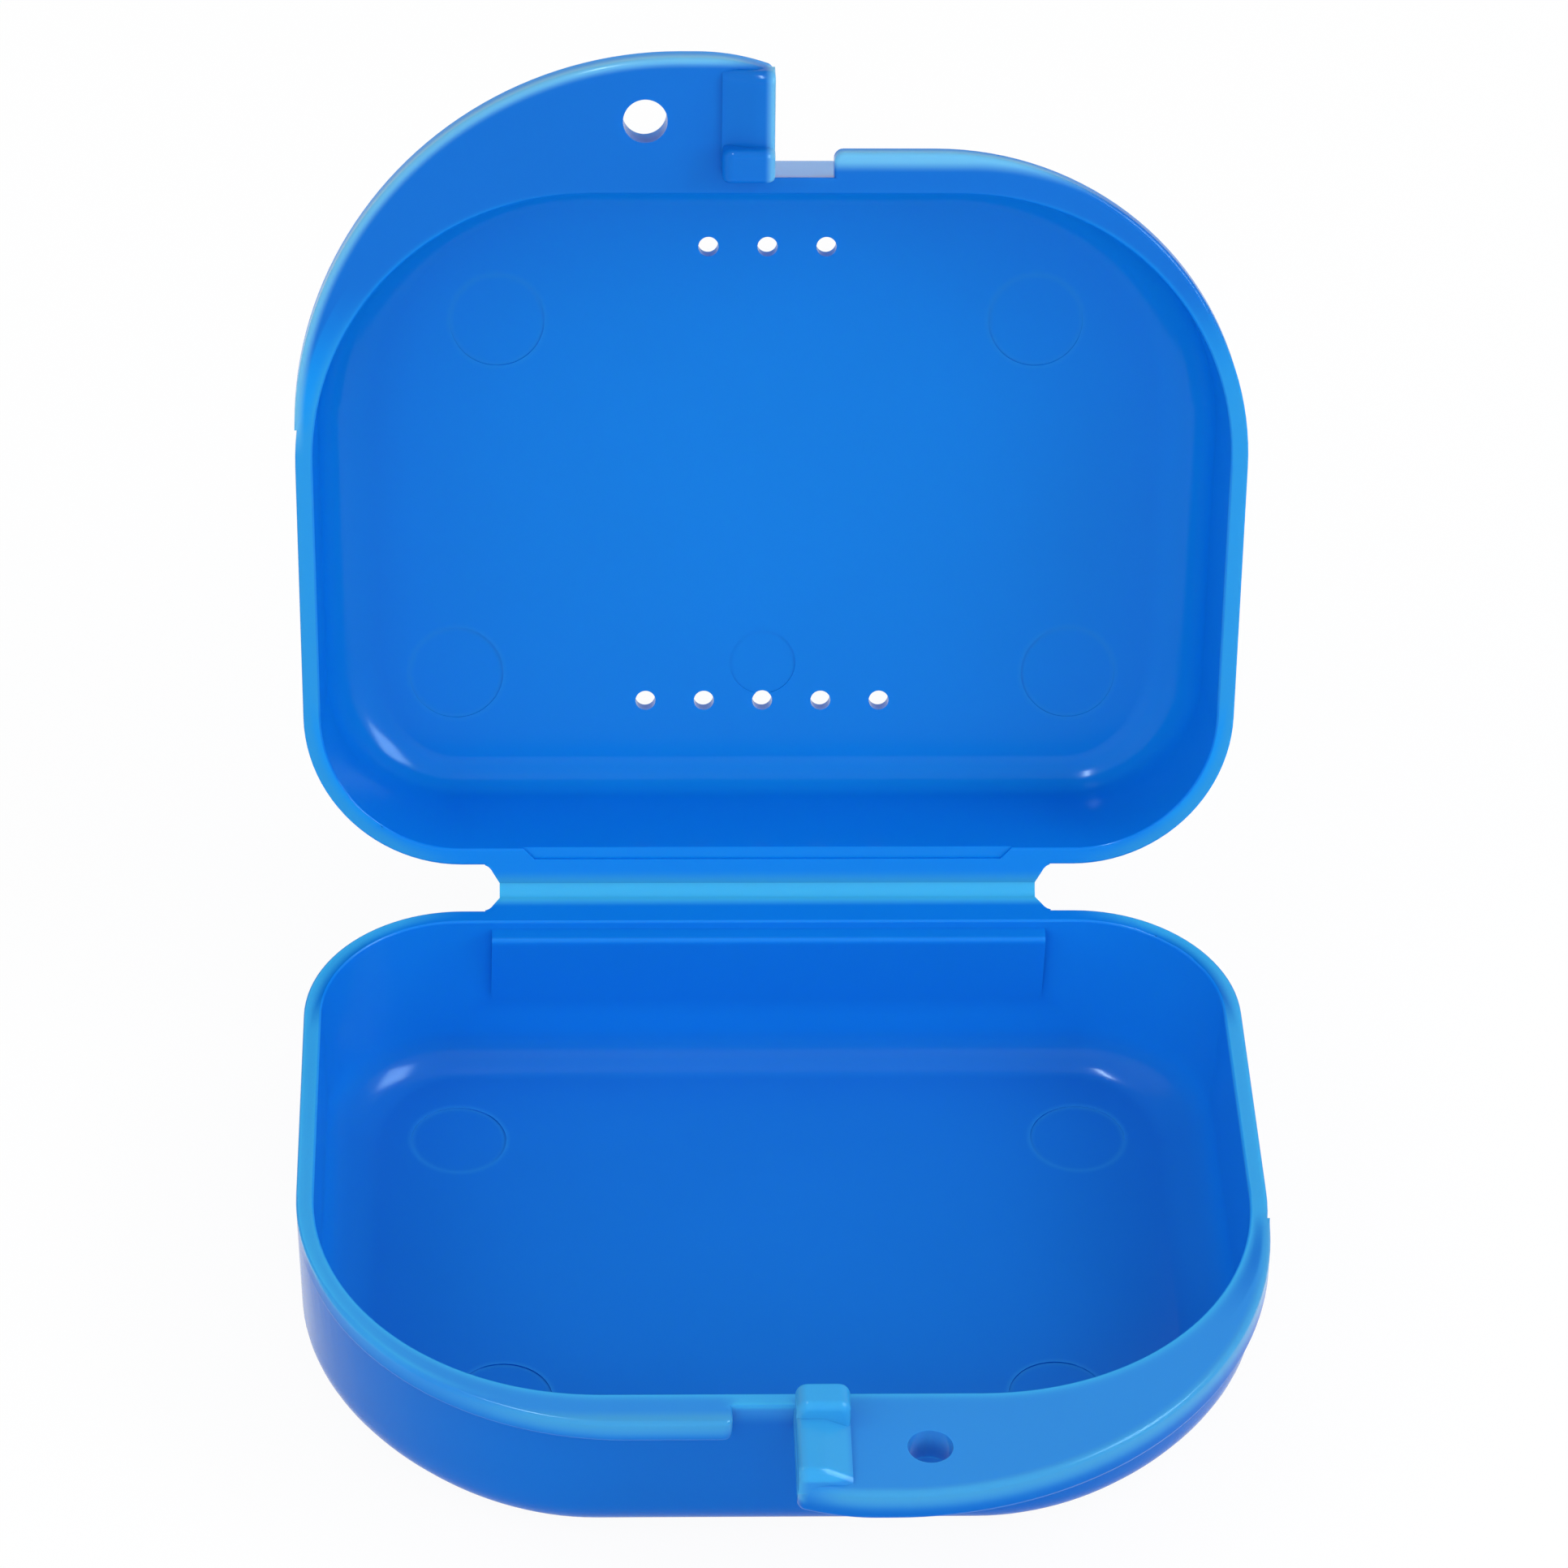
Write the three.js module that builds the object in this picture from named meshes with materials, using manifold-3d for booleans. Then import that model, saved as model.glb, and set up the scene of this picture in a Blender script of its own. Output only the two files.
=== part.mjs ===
// Retainer case moulded in one shot: two alike drafted shells joined by a living hinge.
// Lengths are millimetres. Each half is drawn lying with its opening up, X across, -Y from
// the hinge axis to the front edge and Z up from the hinge axis. The lid is the same half
// turned over about Y, so each thumb flange and latch hook meets the plain lip opposite it.
import * as THREE from "three";
import { mergeVertices } from "three/addons/utils/BufferGeometryUtils.js";
import Module from "manifold-3d";

const wasm = await Module();
wasm.setup();

// How far the lid stands open from closed, in degrees
const openingDegrees = 112.84;

// Shell outline, outer face at the rim
const frontHalfWidth = 39.95;
const rearTaper = 0.65; // how much nearer to the middle each side is at the rear
const rearSetback = 2.3;
const shellLength = 60.15;
const frontCornerRadius = 24.45;
const rearCornerRadius = 13.4;

// Shell section
const outerDepth = 16.4;
const wall = 1.45;
const floorThickness = 1.5;
const baseFrontDraftDegrees = 5;
const lidFrontDraftDegrees = 8.5;
const sideDraftDegrees = 2.75;
const rearDraftDegrees = 3;
const baseCornerDraftDegrees = 2.3; // on top of the sides' drafts, midway round each corner
const frontBottomRadius = 4.8;
const sideBottomRadius = 6.1;
const rearBottomRadius = 4.3;
const rimGap = 0.2; // between the two rims when the case is shut

// Lip along one half of the front
const lipReach = 2.05;
const lipThickness = 2.1;
const lipCornerRadius = 26.5;
const lipTuck = 0.1; // how far the lip's side end runs into the wall
const lipEdgeRadius = 0.4;
const lipInnerCornerRadius = 0.8;

// Thumb flange along the other half of the front
const flangeReach = 10.15;
const flangeHalfWidth = 40;
const flangeThickness = 3;
const flangeCornerFromMiddle = 8; // the outer corner turns about a point this far from the middle
const flangeEdgeRadius = 0.5;
const flangeInnerCornerRadius = 0.8;
const flangeBowLength = 6.5; // the edge bows back this far from the flange's inner end
const flangeBowRadius = 18;
const flangeSplit = 0.2; // between the two flanges when the case is shut
const cordHoleRadius = 1.85;
const cordHoleAcross = 10.9;
const cordHoleFromEdge = 5.35;

// Latch hook and the rib that runs from it to the flange's edge
const hookWidth = 4.4;
const hookThickness = 2.8;
const hookHeight = 2.8;
const hookCornerRadius = 1;
const hookFrontRadius = 0.7;
const hookWallClearance = 0.15;
const hookSideClearance = 0.3;
const latchSplit = 0.3; // between the two hooks when the case is shut
const ribFlatWidth = 2.3;
const ribHeight = 1.35;
const ribLowHeight = 0.35;
const ribEndRadius = 1;
const ribEndFromEdge = 0.9; // behind the foremost point of the flange's edge

// Living hinge: a stiff leaf on each half and a thin film between them
const leafHalfWidth = 23.4;
const filmHalfWidth = 22.7;
const leafThickness = 1.4;
const leafRelief = 0.9; // sloped underside beside the film
const filmReach = 0.7; // from the hinge axis to each leaf
const filmThickness = 0.35;

// Pad behind the hinge, inside the base
const padHalfWidth = 23.4;
const padThickness = 1.55;
const padDrop = 0.8; // from the rim to the pad's top
const padChamfer = 0.7;
const padHeight = 10.5;

// Relief along the lid's rear rim
const reliefHalfWidth = 19.75;
const reliefWidth = 0.95;
const reliefDepth = 0.4;

// Vents through the lid's floor
const ventRadius = 0.85;
const ventPitch = 5;
const frontVentCount = 3;
const rearVentCount = 5;
const frontVentFromWall = 10; // from the front wall's outer face
const rearVentFromWall = 9.9; // from the rear wall's outer face

// Ejector pin marks on the floors
const markDepth = 0.12;
const markRadius = 4;
const frontMarkFromSide = 17.11; // these five are from the outer faces at the rim
const frontMarkFromFront = 16.45;
const rearMarkFromSide = 13.1;
const rearMarkFromRear = 12.4;
const middleMarkFromRear = 13.3;
const middleMarkRadius = 2.8;

// Between solids that are one moulding, and past a face that a cut goes through
const seam = 0.1;
const overrun = 1;

// Counts along curved stretches
const frontCornerSteps = 16;
const rearCornerSteps = 12;
const filletSteps = 8;
const roundSteps = 24;
const edgeSteps = 3;
const bowSteps = 4;

// Places worked out from the sizes above, with Z measured from the hinge axis
const rimTop = -rimGap / 2;
const shellBottom = rimTop - outerDepth;
const innerDepth = outerDepth - floorThickness;
const floorTop = rimTop - innerDepth;
const shellFront = rearSetback + shellLength;
const shellMiddle = rearSetback + shellLength / 2;
const opening = THREE.MathUtils.degToRad(openingDegrees);
const outerRadii = { front: frontBottomRadius, side: sideBottomRadius, rear: rearBottomRadius };
const baseDrafts = {
  front: baseFrontDraftDegrees,
  side: sideDraftDegrees,
  rear: rearDraftDegrees,
  corner: baseCornerDraftDegrees,
};
const lidDrafts = { ...baseDrafts, front: lidFrontDraftDegrees, corner: 0 };
const innerRadii = {
  front: frontBottomRadius - wall,
  side: sideBottomRadius - wall,
  rear: rearBottomRadius - wall,
};
const hookStart = latchSplit / 2;
const flangeStart = flangeSplit / 2;
const lipStart = hookStart + hookWidth + hookSideClearance;
const hookBack = shellFront + hookWallClearance;
const hookFront = hookBack + hookThickness;
const rearHalfWidth = frontHalfWidth - rearTaper;
const flangeFront = shellFront + flangeReach;
const lipFront = shellFront + lipReach;

const plastic = new THREE.MeshStandardMaterial({ color: 0x1b6bd2, roughness: 0.32, metalness: 0 });
const filmPlastic = new THREE.MeshStandardMaterial({ color: 0x48a9e4, roughness: 0.3, metalness: 0 });

// Solids and geometries

/** Makes a manifold solid of a closed geometry. */
function solidOf(geometry) {
  const bare = geometry.clone();
  bare.deleteAttribute("normal");
  bare.deleteAttribute("uv");
  const merged = mergeVertices(bare);
  return new wasm.Manifold(
    new wasm.Mesh({
      numProp: 3,
      vertProperties: new Float32Array(merged.attributes.position.array),
      triVerts: new Uint32Array(merged.index.array),
    }),
  );
}

/** Makes a flat-shaded geometry of a manifold solid. */
function geometryOf(solid) {
  const made = solid.getMesh();
  const positions = new THREE.BufferAttribute(new Float32Array(made.vertProperties), made.numProp);
  const indexed = new THREE.BufferGeometry()
    .setAttribute("position", positions)
    .setIndex(new THREE.BufferAttribute(new Uint32Array(made.triVerts), 1));
  const flat = indexed.toNonIndexed();
  flat.computeVertexNormals();
  return flat;
}

/** Joins every solid in a list to the first. */
function joined(solids) {
  return solids.reduce((whole, next) => whole.add(next));
}

/** Cuts every solid in a list from the first one given. */
function cutBy(solid, cutters) {
  return cutters.reduce((left, cutter) => left.subtract(cutter), solid);
}

/** Extrudes a plan outline (x, y) down from a height, with its edges rounded by a radius. */
function slab(outline, top, thickness, edgeRadius = 0) {
  const geometry = new THREE.ExtrudeGeometry(outline, {
    depth: thickness - 2 * edgeRadius,
    bevelEnabled: edgeRadius > 0,
    bevelThickness: edgeRadius,
    bevelSize: edgeRadius,
    bevelOffset: -edgeRadius,
    bevelSegments: edgeSteps,
  });
  return solidOf(geometry.translate(0, 0, top - thickness + edgeRadius));
}

/** Extrudes a side outline (y, z) along X, the same way on both sides of the middle. */
function bar(outline, halfWidth) {
  const geometry = new THREE.ExtrudeGeometry(outline, {
    depth: 2 * halfWidth,
    curveSegments: roundSteps,
    bevelEnabled: false,
  });
  geometry.translate(0, 0, -halfWidth);
  const [x, y, z] = [0, 1, 2].map((axis) => new THREE.Vector3().setComponent(axis, 1));
  return solidOf(geometry.applyMatrix4(new THREE.Matrix4().makeBasis(y, z, x)));
}

/** Extrudes a front outline (x, z) forward, from one distance ahead of the axis to another. */
function boss(outline, from, to) {
  const geometry = new THREE.ExtrudeGeometry(outline, {
    depth: to - from,
    curveSegments: roundSteps,
    bevelEnabled: false,
  });
  return solidOf(geometry.rotateX(Math.PI / 2).translate(0, -from, 0));
}

/** Makes an upright cylinder, given by its place ahead of the axis and its two heights. */
function pin(radius, across, fromAxis, bottom, top) {
  const geometry = new THREE.CylinderGeometry(radius, radius, top - bottom, roundSteps);
  geometry.rotateX(Math.PI / 2).translate(across, -fromAxis, (top + bottom) / 2);
  return solidOf(geometry);
}

/** Points along an arc, each with its direction out from the centre. */
function arc(centre, radius, from, to, steps) {
  return Array.from({ length: steps + 1 }, (_, step) => {
    const angle = THREE.MathUtils.lerp(from, to, step / steps);
    const out = new THREE.Vector2(Math.cos(angle), Math.sin(angle));
    return { at: centre.clone().addScaledVector(out, radius), out };
  });
}

// Shell

/**
 * Points of the shell's plan with their outward directions, anticlockwise from the front.
 * Two corner arcs a side are joined by the line that touches both, so the sides taper.
 */
function shellPlan() {
  const front = new THREE.Vector2(
    frontHalfWidth - frontCornerRadius,
    -(shellFront - frontCornerRadius),
  );
  const rear = new THREE.Vector2(rearHalfWidth - rearCornerRadius, -(rearSetback + rearCornerRadius));
  const between = rear.clone().sub(front);
  const slant = Math.acos((frontCornerRadius - rearCornerRadius) / between.length());
  const touching = between.angle() - slant;
  const right = [
    ...arc(front, frontCornerRadius, -Math.PI / 2, touching, frontCornerSteps),
    ...arc(rear, rearCornerRadius, touching, Math.PI / 2, rearCornerSteps),
  ];
  const left = right
    .map(({ at, out }) => ({
      at: new THREE.Vector2(-at.x, at.y),
      out: new THREE.Vector2(-out.x, out.y),
    }))
    .reverse();
  return [...right, ...left];
}

/** How far a drafted wall with a rounded bottom lies inside its rim line at a depth. */
function drawIn(depth, fullDepth, draftDegrees, radius) {
  const draft = THREE.MathUtils.degToRad(draftDegrees);
  const centreDepth = fullDepth - radius;
  const centreIn = centreDepth * Math.tan(draft) + radius / Math.cos(draft);
  if (depth < centreDepth + radius * Math.sin(draft)) return depth * Math.tan(draft);
  return centreIn - Math.sqrt(Math.max(0, radius ** 2 - (depth - centreDepth) ** 2));
}

/** Closes a stack of equal rings, top one first, into a solid with flat ends. */
function loft(rings) {
  const count = rings[0].length;
  const index = [];
  rings.slice(1).forEach((_, level) => {
    for (let step = 0; step < count; step += 1) {
      const next = (step + 1) % count;
      const [upper, lower] = [level * count, (level + 1) * count];
      index.push(upper + step, lower + step, lower + next);
      index.push(upper + step, lower + next, upper + next);
    }
  });
  const caps = [0, rings.length - 1].map((level) => {
    const outline = rings[level].map((point) => new THREE.Vector2(point.x, point.y));
    return THREE.ShapeUtils.triangulateShape(outline, []).map((face) =>
      face.map((corner) => corner + level * count),
    );
  });
  caps[0].forEach(([a, b, c]) => index.push(a, b, c));
  caps[1].forEach(([a, b, c]) => index.push(a, c, b));
  const geometry = new THREE.BufferGeometry().setFromPoints(rings.flat()).setIndex(index);
  return solidOf(geometry);
}

/**
 * The body inside the shell's plan, drawn out or in by an offset, drafted on each side by its
 * own angle and rounded at the bottom by its own radius.
 */
function shellBody({ offset, depth, radii, drafts, above }) {
  const largest = Math.max(radii.front, radii.side, radii.rear);
  const depths = Array.from(
    { length: filletSteps + 1 },
    (_, step) => depth - largest + largest * Math.sin((step / filletSteps) * (Math.PI / 2)),
  );
  const plan = shellPlan();
  const cornerSlope = Math.tan(THREE.MathUtils.degToRad(drafts.corner));
  const ring = (level, height) => {
    const side = drawIn(level, depth, drafts.side, radii.side);
    const front = drawIn(level, depth, drafts.front, radii.front);
    const rear = drawIn(level, depth, drafts.rear, radii.rear);
    return plan.map(({ at, out }) => {
      const corner = level * cornerSlope * (out.y < 0 ? (2 * out.x * out.y) ** 2 : 0);
      const x = at.x + out.x * (offset - side - corner);
      const y = at.y + out.y * (offset - (out.y < 0 ? front : rear) - corner);
      return new THREE.Vector3(x, y, height);
    });
  };
  const top = above ? [ring(0, rimTop + above)] : [];
  return loft([...top, ring(0, rimTop), ...depths.map((level) => ring(level, rimTop - level))]);
}

/**
 * Plan outline from the middle of the front round one corner, closed behind the front wall. It
 * starts with a small round corner, with or without a long shallow bow after it.
 */
function frontOutline({ hand, start, front, halfWidth, cornerRadius, firstRadius, bow }) {
  const corner = new THREE.Vector2(halfWidth - cornerRadius, -front + cornerRadius);
  const end = bow
    ? bowedEnd({ start, front, firstRadius, ...bow })
    : arc(
        new THREE.Vector2(start + firstRadius, -front + firstRadius),
        firstRadius,
        -Math.PI,
        -Math.PI / 2,
        edgeSteps,
      );
  const right = [
    new THREE.Vector2(start, corner.y),
    ...end.map(({ at }) => at),
    ...arc(corner, cornerRadius, -Math.PI / 2, 0, frontCornerSteps).map(({ at }) => at),
  ];
  return new THREE.Shape(right.map(({ x, y }) => new THREE.Vector2(hand * x, y)));
}

/** A small corner arc that runs on into a large one, which ends touching the front line. */
function bowedEnd({ start, front, firstRadius, length, radius }) {
  const large = new THREE.Vector2(start + length, -front + radius);
  const drop = Math.sqrt((radius - firstRadius) ** 2 - (length - firstRadius) ** 2);
  const small = new THREE.Vector2(start + firstRadius, large.y - drop);
  const meeting = Math.atan2(-drop, firstRadius - length);
  return [
    ...arc(small, firstRadius, -Math.PI, meeting, edgeSteps),
    ...arc(large, radius, meeting, -Math.PI / 2, bowSteps).slice(1),
  ];
}

/** The lip, on the side away from the flange. */
function lip() {
  const outline = frontOutline({
    hand: -1,
    start: lipStart,
    front: lipFront,
    halfWidth: frontHalfWidth - lipTuck,
    cornerRadius: lipCornerRadius,
    firstRadius: lipInnerCornerRadius,
  });
  return slab(outline, rimTop, lipThickness, lipEdgeRadius);
}

/** Vents in two rows through the floor. */
function vents() {
  const row = (count, fromAxis) =>
    Array.from({ length: count }, (_, hole) =>
      pin(
        ventRadius,
        (hole - (count - 1) / 2) * ventPitch,
        fromAxis,
        shellBottom - overrun,
        floorTop + overrun,
      ),
    );
  return [
    ...row(frontVentCount, shellFront - frontVentFromWall),
    ...row(rearVentCount, rearSetback + rearVentFromWall),
  ];
}

/** Shallow round ejector marks in the floor. */
function marks(withMiddle) {
  const mark = (radius, across, fromAxis) =>
    pin(radius, across, fromAxis, floorTop - markDepth, floorTop + overrun);
  const corners = [-1, 1].flatMap((side) => [
    mark(markRadius, side * (frontHalfWidth - frontMarkFromSide), shellFront - frontMarkFromFront),
    mark(markRadius, side * (rearHalfWidth - rearMarkFromSide), rearSetback + rearMarkFromRear),
  ]);
  const middle = mark(middleMarkRadius, 0, rearSetback + middleMarkFromRear);
  return withMiddle ? [...corners, middle] : corners;
}

/** Shallow step along the inside of the rear rim, with ends at 45 degrees. */
function relief() {
  const inner = -(rearSetback + wall);
  const outline = new THREE.Shape([
    new THREE.Vector2(-reliefHalfWidth - reliefWidth, inner - overrun),
    new THREE.Vector2(reliefHalfWidth + reliefWidth, inner - overrun),
    new THREE.Vector2(reliefHalfWidth + reliefWidth, inner),
    new THREE.Vector2(reliefHalfWidth, inner + reliefWidth),
    new THREE.Vector2(-reliefHalfWidth, inner + reliefWidth),
    new THREE.Vector2(-reliefHalfWidth - reliefWidth, inner),
  ]);
  return slab(outline, rimTop + overrun, reliefDepth + overrun);
}

/** Wedge of a pad inside the rear wall, deepest below its chamfered top. */
function pad() {
  const face = -(rearSetback + wall);
  const back = face + wall / 2;
  const top = rimTop - padDrop;
  const outline = new THREE.Shape([
    new THREE.Vector2(back, top),
    new THREE.Vector2(back, top - padHeight),
    new THREE.Vector2(face, top - padHeight),
    new THREE.Vector2(face - padThickness, top - padChamfer),
    new THREE.Vector2(face - padThickness + padChamfer, top),
  ]);
  return bar(outline, padHalfWidth);
}

/** One open shell with its lip, and with what only the base or only the lid has. */
function shell({ isLid, drafts }) {
  const body = shellBody({ offset: 0, depth: outerDepth, radii: outerRadii, drafts });
  const cavity = shellBody({
    offset: -wall,
    depth: innerDepth,
    radii: innerRadii,
    drafts,
    above: overrun,
  });
  const open = joined([body, lip()]).subtract(cavity);
  if (isLid) return cutBy(open, [...marks(true), ...vents(), relief()]);
  return cutBy(open.add(pad()), marks(false));
}

// Thumb flange

/** The flange's outline in plan. */
function flangeOutline() {
  return frontOutline({
    hand: 1,
    start: flangeStart,
    front: flangeFront,
    halfWidth: flangeHalfWidth,
    cornerRadius: flangeHalfWidth - flangeCornerFromMiddle,
    firstRadius: flangeInnerCornerRadius,
    bow: { length: flangeBowLength, radius: flangeBowRadius },
  });
}

/** The flange, cut back to the wall that it stands out from. */
function thumbFlange(drafts) {
  const blank = slab(flangeOutline(), rimTop, flangeThickness, flangeEdgeRadius);
  const plug = shellBody({
    offset: seam,
    depth: outerDepth,
    radii: outerRadii,
    drafts,
    above: overrun,
  });
  const cordHole = pin(
    cordHoleRadius,
    cordHoleAcross,
    flangeFront - cordHoleFromEdge,
    rimTop - flangeThickness - overrun,
    rimTop + overrun,
  );
  return cutBy(blank, [plug, cordHole]);
}

// Latch

/** The hook that stands in the other half's notch, with the rib to the flange's edge. */
function latchHook() {
  const foot = rimTop + seam;
  const hookEnd = hookStart + hookWidth;
  const hookTop = rimTop + hookHeight;
  const hookOutline = new THREE.Shape();
  hookOutline.moveTo(hookStart, foot);
  hookOutline.lineTo(hookEnd, foot);
  hookOutline.lineTo(hookEnd, hookTop - hookCornerRadius);
  hookOutline.absarc(
    hookEnd - hookCornerRadius,
    hookTop - hookCornerRadius,
    hookCornerRadius,
    0,
    Math.PI / 2,
  );
  hookOutline.lineTo(hookStart + hookCornerRadius, hookTop);
  hookOutline.absarc(
    hookStart + hookCornerRadius,
    hookTop - hookCornerRadius,
    hookCornerRadius,
    Math.PI / 2,
    Math.PI,
  );
  hookOutline.closePath();
  const hookSide = new THREE.Shape();
  hookSide.moveTo(-hookBack, foot);
  hookSide.lineTo(-hookBack, hookTop);
  hookSide.lineTo(-hookFront + hookFrontRadius, hookTop);
  hookSide.absarc(
    -hookFront + hookFrontRadius,
    hookTop - hookFrontRadius,
    hookFrontRadius,
    Math.PI / 2,
    Math.PI,
  );
  hookSide.lineTo(-hookFront, foot);
  hookSide.closePath();
  const hook = boss(hookOutline, hookBack, hookFront).intersect(bar(hookSide, hookEnd + overrun));

  const ribTop = rimTop + ribHeight;
  const ribOutline = new THREE.Shape([
    new THREE.Vector2(hookStart, foot),
    new THREE.Vector2(hookEnd, foot),
    new THREE.Vector2(hookEnd, rimTop + ribLowHeight),
    new THREE.Vector2(hookStart + ribFlatWidth, ribTop),
    new THREE.Vector2(hookStart, ribTop),
  ]);
  const ribEnd = ribEndFromEdge - flangeFront;
  const sideOutline = new THREE.Shape();
  sideOutline.moveTo(-hookBack, foot);
  sideOutline.lineTo(-hookBack, ribTop);
  sideOutline.lineTo(ribEnd + ribEndRadius, ribTop);
  sideOutline.absarc(
    ribEnd + ribEndRadius,
    ribTop - ribEndRadius,
    ribEndRadius,
    Math.PI / 2,
    Math.PI,
  );
  sideOutline.lineTo(ribEnd, foot);
  sideOutline.closePath();
  const rib = boss(ribOutline, hookFront - hookThickness / 2, flangeFront)
    .intersect(bar(sideOutline, hookEnd + overrun))
    .intersect(slab(flangeOutline(), ribTop + overrun, ribHeight + 2 * overrun));
  return hook.add(rib);
}

// Living hinge

/** The stiff leaf between the rear wall and the film, thinned toward the film. */
function hingeLeaf() {
  const root = -(rearSetback - seam);
  const end = -(filmReach + seam);
  const under = rimTop - leafThickness;
  const section = new THREE.Shape([
    new THREE.Vector2(root, rimTop),
    new THREE.Vector2(root, under),
    new THREE.Vector2(end - leafRelief, under),
    new THREE.Vector2(end, rimTop - filmThickness),
    new THREE.Vector2(end, rimTop),
  ]);
  const plan = new THREE.Shape([
    new THREE.Vector2(-leafHalfWidth, root),
    new THREE.Vector2(leafHalfWidth, root),
    new THREE.Vector2(filmHalfWidth, end),
    new THREE.Vector2(-filmHalfWidth, end),
  ]);
  return bar(section, leafHalfWidth).intersect(
    slab(plan, rimTop + overrun, leafThickness + 2 * overrun),
  );
}

/** The film as it lies with the lid standing open: an arc that touches both leaf tops. */
function hingeFilm() {
  const bend = rimGap / 2 + filmReach * Math.tan(opening / 2);
  const centre = new THREE.Vector2(-filmReach, rimTop + bend);
  const from = -Math.PI / 2;
  const to = from + Math.PI - opening;
  const outline = new THREE.Shape();
  outline.absarc(centre.x, centre.y, bend + filmThickness, from, to);
  outline.absarc(centre.x, centre.y, bend, to, from, true);
  outline.closePath();
  return bar(outline, filmHalfWidth);
}

// Assembly

/** Makes a named mesh. */
function mesh(name, geometry, material) {
  const made = new THREE.Mesh(geometry, material);
  made.name = name;
  return made;
}

/** One half of the case, lying with its opening up and the hinge axis on X. */
function half(side) {
  const isLid = side === "lid";
  const drafts = isLid ? lidDrafts : baseDrafts;
  const group = new THREE.Group();
  group.add(
    mesh(`${side}_shell`, geometryOf(shell({ isLid, drafts })), plastic),
    mesh(`${side}_thumb_flange`, geometryOf(thumbFlange(drafts)), plastic),
    mesh(`${side}_latch_hook`, geometryOf(latchHook()), plastic),
    mesh(`${side}_hinge_leaf`, geometryOf(hingeLeaf()), filmPlastic),
  );
  return group;
}

const base = half("base");
const lid = half("lid");
lid.rotation.y = Math.PI;
const lidSwing = new THREE.Group();
lidSwing.rotation.x = -opening;
lidSwing.add(lid);

const film = mesh("hinge_web", geometryOf(hingeFilm()), filmPlastic);

// The hinge axis stands over the rear of the base, whose bottom lies on Z = 0
const retainerCase = new THREE.Group();
const body = new THREE.Group();
body.position.set(0, shellMiddle, -shellBottom);
body.add(base, lidSwing, film);
retainerCase.add(body);

export default retainerCase;
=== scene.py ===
"""Looks of a pocket retainer case: two moulded halves and the thin film that hinges them.

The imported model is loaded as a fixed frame. Each half is modelled in millimetres, lying with its
opening up, X across, -Y from the hinge axis to the front edge and Z up from the hinge axis. Then
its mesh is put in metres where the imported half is.
"""

from __future__ import annotations

import logging
import math
from contextlib import contextmanager
from dataclasses import dataclass
from enum import Enum
from typing import Any, Callable, Iterator, Sequence

import bmesh
import bpy
from mathutils import Matrix, Vector

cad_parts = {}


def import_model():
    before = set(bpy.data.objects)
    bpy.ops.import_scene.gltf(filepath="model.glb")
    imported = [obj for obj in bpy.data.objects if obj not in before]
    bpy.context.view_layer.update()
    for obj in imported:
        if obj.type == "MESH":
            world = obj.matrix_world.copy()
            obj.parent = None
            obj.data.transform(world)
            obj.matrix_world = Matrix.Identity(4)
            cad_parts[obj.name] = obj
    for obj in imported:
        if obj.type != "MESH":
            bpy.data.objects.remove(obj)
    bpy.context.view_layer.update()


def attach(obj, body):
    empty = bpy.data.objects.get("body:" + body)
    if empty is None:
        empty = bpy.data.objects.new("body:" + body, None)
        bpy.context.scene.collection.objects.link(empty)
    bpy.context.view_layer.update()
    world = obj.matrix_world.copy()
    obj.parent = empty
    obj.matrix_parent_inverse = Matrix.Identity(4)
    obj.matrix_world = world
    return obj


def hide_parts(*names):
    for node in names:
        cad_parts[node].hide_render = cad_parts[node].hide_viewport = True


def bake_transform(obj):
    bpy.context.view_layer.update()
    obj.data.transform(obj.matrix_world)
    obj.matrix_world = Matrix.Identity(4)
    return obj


LOG = logging.getLogger("retainer_case")

MM = 0.001
HAIR = 0.02  # millimetres, how near counts as the same place when edges are selected
LEVEL_HAIR = 0.0001  # millimetres, how near counts as one level of the walls
MERGE = 0.001  # millimetres, how near vertices are merged
SLIVER = 0.0005  # millimetres, how narrow a face is removed
SHARP_DEGREES = 40  # an edge whose faces meet by more than this is sharp
STRAIGHT_DEGREES = 0.1  # corners flatter than this are dissolved
ROUND_SIDES = 72
LARGE_FACES_LEAD = 100  # the weight at which large faces alone set the shading's direction
ACROSS, ALONG, UP = range(3)
PHOTO_PIXELS = 1932


class Pick(Enum):
    """What a selection is made of."""

    VERTS = "VERT"
    EDGES = "EDGE"
    FACES = "FACE"


class Carve(Enum):
    """How one solid changes another."""

    JOIN = "UNION"
    CUT = "DIFFERENCE"


class Turn(Enum):
    """How a half lies when its opening faces up."""

    AS_MODELLED = 0
    OVER = 1


# Modelling


@dataclass(frozen=True)
class Round:
    """A round: its radius in millimetres, and the straight steps along it."""

    radius: float
    steps: int

    def started_at(self, share: float) -> Round:
        """The same round, started at a share of its radius from the corner."""
        return Round(self.radius * share, self.steps)


def take(piece: bpy.types.Object) -> None:
    """Selects one piece alone and makes it the active one.

    Args:
        piece: The object.
    """
    bpy.ops.object.select_all(action="DESELECT")
    piece.select_set(True)
    bpy.context.view_layer.objects.active = piece


def settle() -> None:
    """Takes the active piece's place, turn and size into its mesh."""
    bpy.ops.object.transform_apply(location=True, rotation=True, scale=True)


@contextmanager
def editing(piece: bpy.types.Object) -> Iterator[None]:
    """Opens one piece in edit mode, and leaves edit mode at the end.

    Args:
        piece: The mesh object to work on.
    """
    take(piece)
    bpy.ops.object.mode_set(mode="EDIT")
    try:
        yield
    finally:
        bpy.ops.object.mode_set(mode="OBJECT")


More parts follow.
